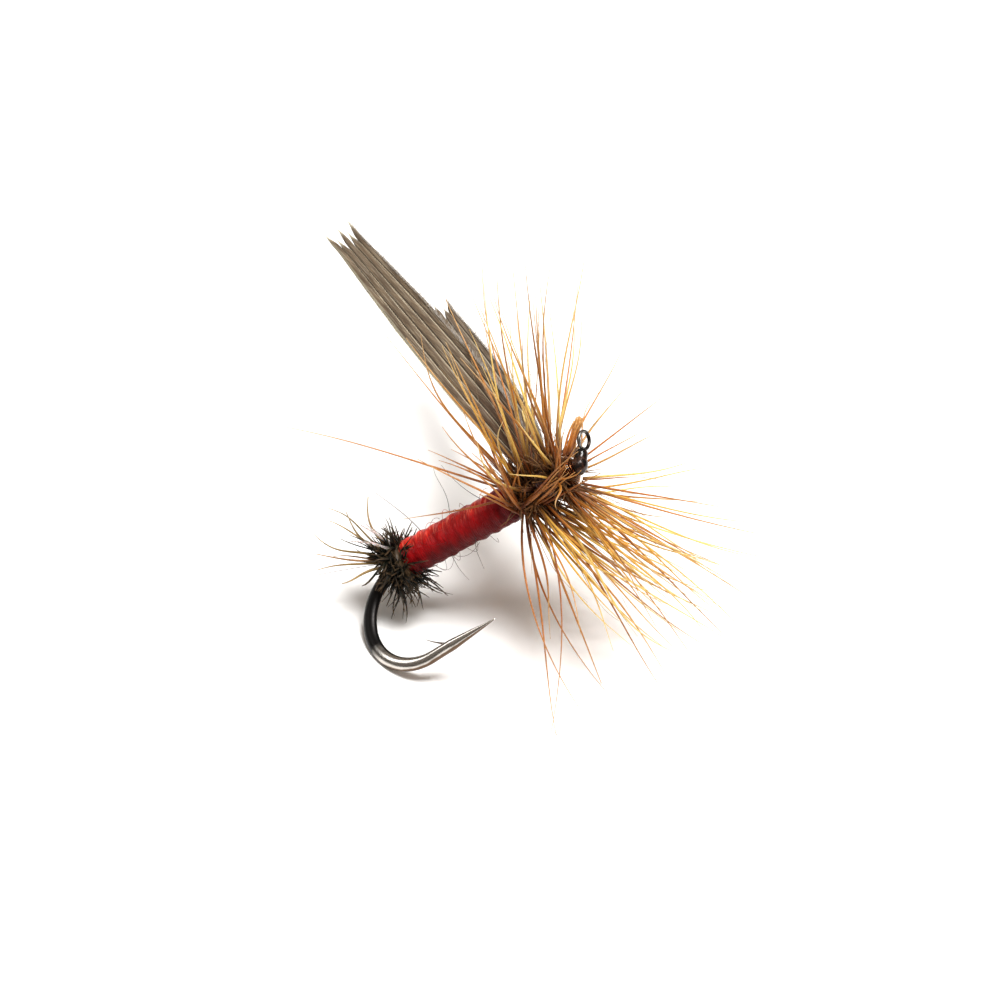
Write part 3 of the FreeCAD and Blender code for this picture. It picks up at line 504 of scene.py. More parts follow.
def barb_look(name, root, hues, tip, gloss=0.30, lighter=0.35):
    """A feather barb: dark at the root, paler to the tip, its own hue between, and glossy."""
    look = Look(name, Specular_IOR_Level=0.35)
    along = look.value("along")
    tone = look.value("tone")
    flecks = look.noise(look.place((3, 3, 3)), 2.4, 3.0)
    places = [k / (len(hues) - 1) for k in range(len(hues))]
    middle = look.ramp(tone, *zip(places, hues))
    base = look.mix(look.rise(along, 0.05, 0.38), root, middle)
    base = look.mix(look.rise(along, 0.45, 1.0, 0.0, lighter), base, tip)
    base = look.mix(look.rise(flecks, 0.48, 0.66, 0.0, 0.5), base, look.mix(0.5, root, middle))
    look.bump(look.noise(look.place((8, 8, 8)), 3.0, 2.0), 0.008, 0.6)
    return look.paint(base, look.rise(flecks, 0.3, 0.7, gloss, gloss + 0.2))


def wing_look(name, web, shade, rib, edge, root):
    """Quill slip: thin pale ribs beside dark lines, and a web of fine slanting barbules."""
    look = Look(name, Specular_IOR_Level=0.3)
    place = look.node("Attribute", attribute_name="web").outputs["Vector"]
    length, width, kind = look.node("SeparateXYZ", {0: place}).outputs
    slant = look.sum("ADD", look.sum("MULTIPLY", length, 9.0), look.sum("MULTIPLY", width, 26.0))
    wave = look.node("CombineXYZ", {0: slant, 1: look.sum("MULTIPLY", width, 1.2), 2: 0.0}).outputs[0]
    hatch = look.noise(wave, 1.0, 2.0, 0.2)
    stretched = look.node("Mapping", {"Vector": place, "Scale": (0.9, 5.0, 1.0)}).outputs[0]
    mottle = look.noise(stretched, 1.0, 4.0)
    streaks = look.node("Mapping", {"Vector": place, "Scale": (0.6, 26.0, 1.0)}).outputs[0]
    streak = look.noise(streaks, 1.0, 3.0)
    base = look.mix(look.rise(hatch, 0.34, 0.66, 0.25, 0.75), shade, web)
    base = look.mix(look.rise(mottle, 0.40, 0.62, 0.0, 0.7), base, shade)
    base = look.mix(look.rise(streak, 0.52, 0.72, 0.0, 0.35), base, rib)
    base = look.mix(look.rise(look.value("along"), 0.06, 0.50, 0.85, 0.0), base, root)
    base = look.mix(look.rise(look.value("tone"), -0.9, -0.10, 1.0, 0.0), base, colour(26, 20, 15))
    base = look.mix(look.rise(look.value("tone"), 0.14, 0.42, 0.0, 1.0), base, rib)
    base = look.mix(kind, base, edge)
    look.bump(look.sum("ADD", hatch, streak), 0.016, 0.8)
    return look.paint(base, look.rise(hatch, 0.3, 0.7, 0.62, 0.46))


def herl_look():
    """Peacock herl: black-green with a faint bronze gleam and brown tips."""
    look = Look("herl_barbules", Specular_IOR_Level=0.28)
    along = look.value("along")
    fleck = look.noise(look.place((4, 4, 4)), 2.0, 3.0)
    base = look.ramp(along, (0.0, colour(7, 8, 7)), (0.6, colour(15, 16, 11)), (1.0, colour(74, 54, 30)))
    green = look.mix(look.rise(fleck, 0.45, 0.65), colour(14, 24, 15), colour(44, 36, 20))
    base = look.mix(look.rise(look.value("tone"), 0.35, 1.0, 0.0, 0.6), base, green)
    look.bump(fleck, 0.015, 0.7)
    return look.paint(base, look.rise(fleck, 0.3, 0.7, 0.42, 0.62))


def hair_look():
    look = Look("hair_dark", Specular_IOR_Level=0.6)
    fleck = look.noise(look.place((5, 5, 5)), 2.0, 2.0)
    base = look.ramp(look.value("along"), (0.0, colour(26, 22, 22)), (1.0, colour(84, 66, 60)))
    look.bump(fleck, 0.004, 0.5)
    return look.paint(look.mix(look.rise(fleck, 0.5, 0.7, 0, 0.3), base, colour(12, 12, 14)), 0.4)


def fluff_look():
    look = Look("floss_pale", Specular_IOR_Level=0.5, Subsurface_Weight=0.3, Subsurface_Scale=0.1 * MM)
    streak = look.noise(look.place((10, 10, 10)), 1.5, 3.0)
    base = look.mix(look.rise(streak, 0.4, 0.65), colour(216, 208, 204), colour(150, 130, 122))
    look.bump(streak, 0.012, 0.7)
    return look.paint(base, look.rise(streak, 0.3, 0.7, 0.3, 0.5))


def fuzz_look():
    look = Look("wing_down", Specular_IOR_Level=0.3)
    speck = look.noise(look.place((4, 4, 4)), 2.0, 2.0)
    return look.paint(look.mix(speck, colour(196, 190, 182), colour(130, 122, 112)), 0.6)


def table_look():
    look = Look("table_white", Specular_IOR_Level=0.25)
    coordinates = look.node("TexCoord").outputs["Object"]
    cloud = look.noise(coordinates, 120.0, 3.0)
    base = look.mix(look.rise(cloud, 0.3, 0.7), colour(247, 246, 244), colour(251, 250, 249))
    look.bump(look.noise(coordinates, 2400.0, 3.0), 0.01, 0.25)
    return look.paint(base, 0.55)


# ---------------------------------------------------------------- hook


def hook_line(rings):
    """The wire's centreline from the shank's front end to the point, and each point's distance."""
    shank = SHANK_END - BEND_START
    sweep = math.pi + SPEAR_TURN
    arc = BEND_RADIUS * sweep
    total = shank + arc + POINT_TIP
    distance = np.linspace(0, total, rings)
    turn = np.clip((distance - shank) / BEND_RADIUS, 0, sweep)
    x = BEND_START - BEND_RADIUS * np.sin(turn)
    z = -BEND_RADIUS + BEND_RADIUS * np.cos(turn)
    x = np.where(distance < shank, SHANK_END - distance, x)
    z = np.where(distance < shank, 0.0, z)
    spear = np.maximum(distance - shank - arc, 0)
    x = x + spear * math.cos(SPEAR_TURN)
    z = z + spear * math.sin(SPEAR_TURN)
    return np.stack([x, np.zeros(rings), z], -1), distance, shank, shank + arc


def wire_radii(distance, spear_start):
    """The wire's radius: thin at the eye, full round the bend, ground to a needle point."""
    taper = np.interp(distance, [0, SHANK_END - TAPER_START], [EYE_WIRE_RADIUS, WIRE_RADIUS])
    share = np.clip((distance - spear_start - SPEAR_CONE_START) / (POINT_TIP - SPEAR_CONE_START), 0, 1)
    return taper * (1 - share) ** 0.92 + 0.018 * share


def make_hook(look):
    """The bent wire, flattened a little where it is forged, with its barb cut up from the spear."""
    rings, sides = 420, 32
    line, distance, bend, spear = hook_line(rings)
    forged = smooth(bend + 0.8, bend + 3.0, distance) * (1 - smooth(spear - 1.2, spear + 0.7, distance))
    radii = wire_radii(distance, spear) * (1 - 0.16 * forged)
    mass = Mass()
    tubes(mass, line[None], radii, [0.0], sides=sides, flat=1 + 0.46 * forged, reference=ACROSS)
    mass.tone[-1] = np.repeat(smooth(bend + 1.8, spear + 0.6, distance), sides)
    # Each point's 'along' value is how squarely it faces across the hook's plane; the hook's material paints a dark
    # reflection along the edges, where it is low.
    mass.along[-1] = np.tile(np.abs(np.cos(np.arange(sides) * 2 * math.pi / sides)), rings)
    start = line[np.searchsorted(distance, spear)]
    forward = np.array((math.cos(SPEAR_TURN), 0, math.sin(SPEAR_TURN)))
    inward = np.array((-math.sin(SPEAR_TURN), 0, math.cos(SPEAR_TURN)))
    share = np.linspace(0, 1, 16)[:, None]
    rise = 0.10 + 0.20 * share + 0.62 * share**1.5
    barb = start + forward * (0.98 - 1.11 * share) + inward * rise
    radii = 0.100 - 0.072 * share[:, 0] ** 1.3
    tubes(mass, barb[None], radii, [0.62], sides=12, flat=0.5, reference=ACROSS)
    mass.along[-1] = np.full(16 * 12, 0.46)
    mass.piece("hook_wire", look, "hook_steel", "hook")


def make_eye(look):
    """The thin end of the wire: an arc, a straight neck, and a ring that closes on the neck."""
    lead = np.array((math.cos(EYE_TURN), 0, math.sin(EYE_TURN)))
    arc = np.linspace(0, EYE_TURN, 10)
    curve = np.stack([SHANK_END + EYE_TURN_RADIUS * np.sin(arc), arc * 0, EYE_TURN_RADIUS * (1 - np.cos(arc))], -1)
    straight = curve[-1] + lead * np.linspace(0.06, EYE_NECK, 8)[:, None]
    before = np.array([[SHANK_END - 0.1, 0, 0]])
    neck = np.concatenate([before, curve, straight])
    mass = Mass()
    tubes(mass, neck[None], EYE_WIRE_RADIUS, [0.35], sides=20, reference=ACROSS)
    centre = straight[-1] + lead * EYE_RING_RADIUS
    angle = np.radians(np.linspace(-6, 351, 64))[:, None]
    ring = centre + EYE_RING_RADIUS * (-np.cos(angle) * lead + np.sin(angle) * ACROSS)
    axis = np.cross(lead, ACROSS)
    radii = EYE_WIRE_RADIUS * (1 - 0.35 * smooth(0.86, 1.0, np.linspace(0, 1, 64)))
    tubes(mass, ring[None], radii, [0.45], sides=20, reference=axis)
    mass.piece("hook_eye_ring", look, "hook_steel", "hook_eye")


# ---------------------------------------------------------------- floss and thread


def wound(x, angle, pitch, start):
    """Height over the turns of a winding: 1 along a turn's middle and 0 in the groove beside it."""
    phase = (x - start) / pitch - angle / (2 * math.pi)
    return np.abs(np.sin(math.pi * phase)) ** 0.65


def make_floss_body(look):
    """The wound floss: ten soft, uneven turns of fine filaments."""
    draw = random.Random(3)
    pitch = (BODY_END - BODY_START) / 10
    sizes = np.array([draw.uniform(0.45, 1.0) for _ in range(13)])
    phases = [draw.uniform(0, 6.28) for _ in range(8)]

    def radius(x, angle):
        warped = x + 0.05 * np.sin(3.3 * x + phases[0]) + 0.05 * np.sin(angle + 2 * x + phases[1])
        turn = (warped - BODY_START) / pitch - angle / (2 * math.pi) + 1.5
        ridge = np.sin(math.pi * turn) ** 2
        height = np.interp(turn, np.arange(13), sizes)
        lumps = np.sin(2 * angle + 4.3 * x + phases[2]) * np.sin(3.7 * x + phases[3])
        lumps = lumps + 0.7 * np.sin(3 * angle - 5.9 * x + phases[4]) * np.sin(2.9 * x + phases[5])
        small = np.sin(7 * angle + 9.1 * x + phases[6]) * np.sin(11.3 * x - 2 * angle + phases[7])
        slant = warped + 0.10 * np.sin(angle + 1.3 * x)
        fine = 0.0035 * (np.sin(67 * slant) + np.sin(109 * slant + 2 * np.cos(angle)))
        ends = smooth(BODY_START - 0.14, BODY_START + 0.10, x) * (1 - smooth(BODY_END - 0.25, BODY_END + 0.1, x))
        body = 0.160 + 0.048 * height * ridge + 0.026 * lumps + 0.008 * small + fine
        # The second value is the height over the turns; the floss's material paints shade in the hollows by it and
        # keeps its painted highlight to the ridges.
        return 0.60 + body * (0.25 + 0.75 * ends), np.clip(0.50 + 0.32 * height * ridge + 0.14 * lumps, 0, 1)

    mass = Mass()
    lathe(mass, np.linspace(BODY_START - 0.12, BODY_END + 0.06, 380), radius, 200)
    mass.piece("floss_body_wound", look, "floss_red", "floss_body")


def make_winding(name, look, slot, node, start, end, profile, pitch, ridge, seed, rings=120):
    """Thread wound over a profile: (station, radius) points joined smoothly."""
    places, radii = zip(*profile)
    draw = random.Random(seed)
    lean = draw.uniform(0, 6.28)

    def radius(x, angle):
        warped = x + 0.25 * pitch * np.sin(5 * x + lean) + 0.15 * pitch * np.sin(2 * angle + 9 * x)
        height = wound(warped, angle, pitch, start)
        base = np.interp(x, places, radii)
        # The second value is the height over the turns; the thread and floss materials paint shade in the grooves by
        # it.
        return base + ridge * (height - 1) + 0.1 * ridge * np.sin(3 * angle + 7 * x), height

    mass = Mass()
    lathe(mass, np.linspace(start, end, rings), radius, 96)
    mass.piece(name, look, slot, node)


HEAD_PROFILE = [
    (8.44, 0.46),
    (8.50, 0.52),
    (8.58, 0.59),
    (8.68, 0.645),
    (8.78, 0.66),
    (8.88, 0.63),
    (8.97, 0.55),
    (9.05, 0.45),
    (9.11, 0.35),
    (9.15, 0.26),
]


def make_windings(brown, dark, red, stained):
    make_winding("thread_base_wound", brown, "thread_brown", "thread_base", 0.20, 7.80, [(0, 0.31), (9, 0.31)], 0.09, 0.03, 1, 300)
    make_winding("floss_underbody_wound", red, "floss_red", "floss_underbody", 0.42, 5.95, [(0, 0.59), (9, 0.59)], 0.5, 0.04, 2, 160)
    rear = [(0.10, 0.50), (0.18, 0.66), (0.30, 0.74), (0.42, 0.75), (0.50, 0.70)]
    make_winding("floss_rear_turn_wound", stained, "floss_dark", "floss_rear_turn", 0.10, 0.50, rear, 0.36, 0.05, 3, 60)
    thorax = [(5.90, 0.60), (6.05, 0.50), (8.50, 0.48)]
    make_winding("thorax_thread_wound", brown, "thread_brown", "thorax_thread", 5.90, 8.50, thorax, 0.085, 0.03, 4, 260)
    make_winding("wing_wraps_wound", brown, "thread_brown", "wing_wraps", 7.28, 7.72, [(7.2, 0.58), (8, 0.58)], 0.11, 0.05, 5, 80)
    make_winding("head_wraps_wound", dark, "head_brown", "head_wraps", 8.44, 9.15, HEAD_PROFILE, 0.085, 0.03, 6, 120)
    make_winding("wing_butts_lashed", brown, "quill_grey", "wing_butts", 6.10, 7.40, [(6.0, 0.40), (7.5, 0.42)], 0.3, 0.02, 7, 60)


def make_neck_bead(look):
    """The varnished thread on the eye's neck, a smooth drop that runs down to the head."""
    lead = np.array((math.cos(EYE_TURN), 0, math.sin(EYE_TURN)))
    arc = np.linspace(0, EYE_TURN, 12)
    curve = np.stack([SHANK_END + EYE_TURN_RADIUS * np.sin(arc), arc * 0, EYE_TURN_RADIUS * (1 - np.cos(arc))], -1)
    straight = curve[-1] + lead * np.linspace(0.03, NECK_WRAPS[1] + 0.03, 22)[:, None]
    path = np.concatenate([curve, straight])
    share = np.linspace(0, 1, len(path))
    swell = 0.38 - 0.15 * share + 0.022 * np.sin(9 * share)
    radii = 0.09 + (swell - 0.09) * np.sqrt(np.clip(1 - share**7, 0, 1))
    mass = Mass()
    tubes(mass, path[None], radii, [0.5], sides=36, reference=ACROSS)
    mass.piece("neck_bead", look, "head_brown", "neck_wraps")


def make_varnish(look):
    places, radii = zip(*HEAD_PROFILE)

    def radius(x, angle):
        coat = 0.030 + 0.010 * np.sin(angle * 2 + 3 * x) * np.sin(6 * x)
        return np.interp(x, places, radii) + coat, np.zeros_like(x)

    mass = Mass()
    lathe(mass, np.linspace(8.45, 9.155, 60), radius, 96)
    mass.piece("head_varnish_coat", look, "varnish_clear", "head_varnish")


# ---------------------------------------------------------------- strands


def strand_piece(name, node, look, slot, seed, root, tip, rings=18, amount=0.10, power=1.4, sides=7, bunch=0.0):
    """A piece whose strands follow a CAD node's fibres, with a gentle sway of their own."""
    draw = random.Random(seed)
    lines = strands_of(fibre_curves(node), rings)
    if bunch:
        lines = clump(lines, draw, bunch)
    lines = sway(lines, draw, amount)
    share = np.linspace(0, 1, rings)
    thickness = np.array([draw.uniform(0.78, 1.15) for _ in lines])[:, None]
    radii = (root + (tip - root) * share**power) * thickness
    mass = Mass()
    tubes(mass, lines, radii, spread_tones(draw, len(lines)), sides)
    return mass.piece(name, look, slot, node)


def helix(start, pitch, turns, place, steps=36):
    count = turns * steps + 1
    angle = np.arange(count) * 360.0 / steps
    return (ALONG * start + ALONG * (pitch * angle / 360)[:, None] + radial(angle) * place)[None]


# How long the worn herl's barbules are at azimuths round the shank, in shares of their full length.
HERL_AZIMUTHS = (0, 60, 100, 130, 170, 200, 235, 270, 300, 330, 360)
HERL_LENGTHS = (0.55, 0.55, 0.9, 1.0, 1.0, 0.7, 0.6, 0.95, 1.0, 0.7, 0.55)


def make_herl(look):
    """The wound quill, its barbules turn by turn, and the short dense ones that hide it."""
    mass = Mass()
    tubes(mass, helix(-0.42, 0.19, 3, 0.42), 0.075, [0.2], 10, 0.7)
    mass.piece("butt_herl_quill", look, "herl_green", "butt_herl_stem")
    rings = 10
    share = np.linspace(0, 1, rings)
    for turn in range(3):
        node = f"butt_herl_flue_{turn + 1}"
        draw = random.Random(40 + turn)
        curves = strands_of(fibre_curves(node), rings)
        count = len(curves)
        aim = curves[:, -1] - curves[:, 0]
        azimuths = np.degrees(np.arctan2(aim[:, 1], aim[:, 2])) % 360
        full = np.interp(azimuths, HERL_AZIMUTHS, HERL_LENGTHS)
        mass = Mass()
        for copy in range(3):
            reach = [draw.uniform(0.55, 0.9) if copy else draw.uniform(0.72, 1.0) for _ in range(count)] * full
            stray = np.array([draw.gauss(0, 0.35 if copy else 0.10) for _ in range(count * 3)]).reshape(-1, 1, 3)
            root = curves[:, :1]
            lines = root + (curves - root) * np.array(reach).reshape(-1, 1, 1)
            lines = lines + stray * share[None, :, None] ** 1.3
            lines = sway(clump(lines, draw, 0.8), draw, 0.16)
            radii = 0.062 * (1 - 0.30 * share) - 0.030 * share**6
            tubes(mass, lines, radii, spread_tones(draw, count), 6, 0.5)
        mass.piece(f"butt_herl_barbules_{turn + 1}", look, "herl_green", node)
    draw = random.Random(47)

    def radius(x, angle):
        lumps = 0.06 * np.sin(3 * angle + 5 * x) * np.sin(6 * x + 1) + 0.03 * np.sin(7 * angle - 9 * x)
        rounded = np.sqrt(np.clip(1 - ((x - 0.02) / 0.56) ** 4, 0, 1))
        return 0.12 + (0.66 + 0.25 * smooth(-0.1, 0.45, x) + lumps) * rounded, 0.3 + 0 * x

    mass = Mass()
    lathe(mass, np.linspace(-0.53, 0.57, 48), radius, 60)
    lines = []
    for _ in range(420):
        station = draw.uniform(-0.48, 0.52)
        out = radial(np.array(draw.uniform(0, 360)))
        lean = math.radians(draw.gauss(2 + 45 * station, 26))
        direction = out * math.cos(lean) + ALONG * math.sin(lean)
        side = np.cross(direction, ALONG)
        length = draw.uniform(0.35, 0.95)
        s = share[:, None]
        bow = side * draw.gauss(0, 0.4) + ALONG * draw.gauss(0, 0.3)
        lines.append(ALONG * station + out * (0.55 + 0.12 * station) + direction * (length * s) + bow * (length * s**2))
    tubes(mass, np.array(lines), 0.050 - 0.030 * share**3, spread_tones(draw, len(lines)), 5, 0.55)
    mass.piece("butt_herl_core", look, "herl_green")


def make_hackle(golden, brown, quill):
    """Every turn's barbs, the long loose ones and the ones that carry the fly, and the quill."""
    names = [f"hackle_barbs_rear_{k}" for k in range(1, 5)] + [f"hackle_barbs_front_{k}" for k in range(1, 4)]
    for number, node in enumerate(names):
        strand_piece(node + "_soft", node, golden, "hackle_ginger", 60 + number, 0.058, 0.008, 28, 0.32, 1.7, 7, 1.1)
    strand_piece("hackle_stray_barbs_soft", "hackle_stray_barbs", brown, "hackle_ginger", 80, 0.056, 0.009, 28, 0.12, 1.2)
    strand_piece("hackle_support_barbs_soft", "hackle_support_barbs", brown, "hackle_ginger", 81, 0.060, 0.012, 24, 0.10)
    for name, start, pitch, turns in (("rear", 6.08, 0.30, 4), ("front", 7.86, 0.20, 3)):
        mass = Mass()
        tubes(mass, helix(start, pitch, turns, 0.53), 0.08, [0.5], 12, 0.8)
        mass.piece(f"hackle_quill_{name}", quill, "hackle_quill", f"hackle_stem_{name}")


def make_fine_barbs(look):
    """Hair-fine barbs between the others: thin copies of some of them, each a little aside."""
    draw = random.Random(97)
    rings = 22
    mass = Mass()
    for node in ("hackle_barbs_rear_1", "hackle_barbs_rear_3", "hackle_barbs_front_1", "hackle_barbs_front_3"):
        lines = strands_of(fibre_curves(node), rings)
        chosen = lines[[k for k in range(len(lines)) if draw.random() < 0.7]]
        aside = np.array([draw.gauss(0, 0.55) for _ in range(len(chosen) * 3)]).reshape(-1, 1, 3)
        reach = np.array([draw.uniform(0.55, 1.0) for _ in chosen]).reshape(-1, 1, 1)
        root = chosen[:, :1]
        chosen = root + (chosen - root) * reach + aside * np.linspace(0, 1, rings)[None, :, None] ** 1.2
        chosen = sway(chosen, draw, 0.25)
        tubes(mass, chosen, 0.020 - 0.014 * np.linspace(0, 1, rings), spread_tones(draw, len(chosen)), 5)
    mass.piece("hackle_fine_barbs", look, "hackle_ginger")


def make_web(look):
    """The short downy barbs that crowd round the hackle's quill and hide the thorax."""
    draw = random.Random(91)
    lines = []
    for _ in range(620):
        front = draw.random() < 0.45
        station = draw.uniform(7.84, 8.50) if front else draw.uniform(6.05, 7.30)
        azimuth = draw.uniform(0, 360)
        lean = math.radians(draw.gauss(14, 20))
        out = radial(np.array(azimuth))
        direction = out * math.cos(lean) + ALONG * math.sin(lean)
        side = np.cross(direction, ALONG)
        length = draw.uniform(0.5, 1.7)
        share = np.linspace(0, 1, 7)[:, None]
        bow = side * draw.gauss(0, 0.18) + ALONG * draw.gauss(0, 0.15)
        lines.append(ALONG * station + out * 0.50 + direction * (length * share) + bow * (length * share**2))
    mass = Mass()
    radii = 0.040 - 0.030 * np.linspace(0, 1, 7) ** 1.5
    tubes(mass, keep_over_table(np.array(lines)), radii, spread_tones(draw, len(lines)), 5)
    mass.piece("hackle_web", look, "hackle_ginger")


SWEPT_BUNDLES = [
    (12, (5.98, 6.30), (186, 222), (-10, 18), (2.8, 7.0)),
    (9, (6.02, 6.35), (176, 214), (66, 80), (3.0, 5.2)),
    (3, (6.05, 6.40), (190, 226), (30, 54), (1.4, 2.6)),
    (4, (7.90, 8.35), (196, 236), (40, 74), (1.4, 3.2)),
]


def make_swept_barbs(look):
    """Barbs on the gape's side that lie across the thorax instead of standing out from it.

    Each bundle is (barbs, their stations, azimuths, leans and lengths), in mm and degrees.
    """
    draw = random.Random(77)
    rings = 20
    share = np.linspace(0, 1, rings)[:, None]
    lines = []
    for count, stations, azimuths, leans, lengths in SWEPT_BUNDLES:
        for _ in range(count):
            out = radial(np.array(draw.uniform(*azimuths)))
            across = np.cross(ALONG, out) * -1
            lean = math.radians(draw.uniform(*leans))
            direction = unit(across * math.cos(lean) + ALONG * math.sin(lean) + out * draw.uniform(0.10, 0.34))
            start = ALONG * draw.uniform(*stations) + out * draw.uniform(0.66, 0.92)
            length = draw.uniform(*lengths)
            bow = out * draw.uniform(-0.16, 0.04) + ALONG * draw.gauss(0, 0.10)
            lines.append(start + direction * (length * share) + bow * (length * share**2))
    mass = Mass()
    lines = sway(clump(np.array(lines), draw, 0.7), draw, 0.14)
    radii = 0.064 - 0.052 * np.linspace(0, 1, rings) ** 1.5
    tubes(mass, lines, radii, spread_tones(draw, len(lines)), 7)
    mass.piece("hackle_swept_barbs", look, "hackle_ginger")


def make_stub(look):
    """The trimmed butt of the hackle beside the eye: a bundle of stiff barbs with a ragged end."""
    draw = random.Random(17)
    centre = strands_of(fibre_curves("hackle_stub"), 12)[0]
    mass = Mass()
    lines = []
    for k in range(22):
        aside = np.array([0.0, draw.gauss(0, 0.085), 0.0]) + ALONG * draw.gauss(0, 0.085)
        reach = draw.uniform(0.80, 1.12)
        line = centre[0] + (centre - centre[0]) * reach + aside
        lines.append(line)
    lines = sway(np.array(lines), draw, 0.05)
    radii = 0.05 - 0.012 * np.linspace(0, 1, 12) ** 3
    tubes(mass, lines, radii, spread_tones(draw, len(lines)), 7)
    mass.piece("hackle_stub_trimmed", look, "hackle_quill", "hackle_stub")


def make_flyaways(look):
    """Fine red filaments that have come loose from the floss."""
    draw = random.Random(29)
    lines = []
    share = np.linspace(0, 1, 14)[:, None]
    for _ in range(26):
        station = draw.uniform(0.6, 5.7)
        azimuth = draw.uniform(0, 360)
        out = radial(np.array(azimuth))
        side = np.cross(out, ALONG)
        height = draw.uniform(0.10, 0.42)
        span = draw.uniform(-1.3, 1.3)
        drift = draw.uniform(-0.7, 0.7)
        loop = np.sin(share * math.pi) * height
        lines.append(ALONG * (station + span * share) + out * (0.78 + loop) + side * (drift * share))
    mass = Mass()
    lines = np.clip(np.array(lines), (0.4, -2, -2), (6.4, 2, 2))
    tubes(mass, lines, 0.008, spread_tones(draw, len(lines)), 5)
    mass.piece("floss_loose_filaments", look, "floss_red")


# ---------------------------------------------------------------- wings

WING_OUTLINE = [(0.0, 0.20), (0.035, 0.30), (0.11, 0.60), (0.21, 0.85), (0.34, 1.0), (0.50, 0.98), (0.64, 0.92)]
WING_OUTLINE += [(0.80, 0.76), (0.93, 0.60), (1.0, 0.56)]
BARB_ENDS = [1.0, 0.962, 0.985, 0.955, 0.977]
# Across one barb of a slip, closer together at the rib.
BARB_COLUMNS = [0, 0.03, 0.06, 0.09, 0.12, 0.15, 0.18, 0.22, 0.26, 0.30, 0.35, 0.45, 0.56, 0.68, 0.80, 0.92, 1.0]
RIB_PLACE = 0.11
RIB_HALF_WIDTH = 0.065
LINE_PLACE = 0.25
LINE_HALF_WIDTH = 0.065


def wing_axes(side_sign, rake):
    """The slip's length, chord and thickness directions."""
    split = WING_SPLIT * side_sign
    upright = UP * math.cos(rake) - ALONG * math.sin(rake)
    reach = upright * math.cos(split) + ACROSS * math.sin(split)
    chord = unit(ALONG - reach * (ALONG @ reach))
    return reach, chord, np.cross(reach, chord)


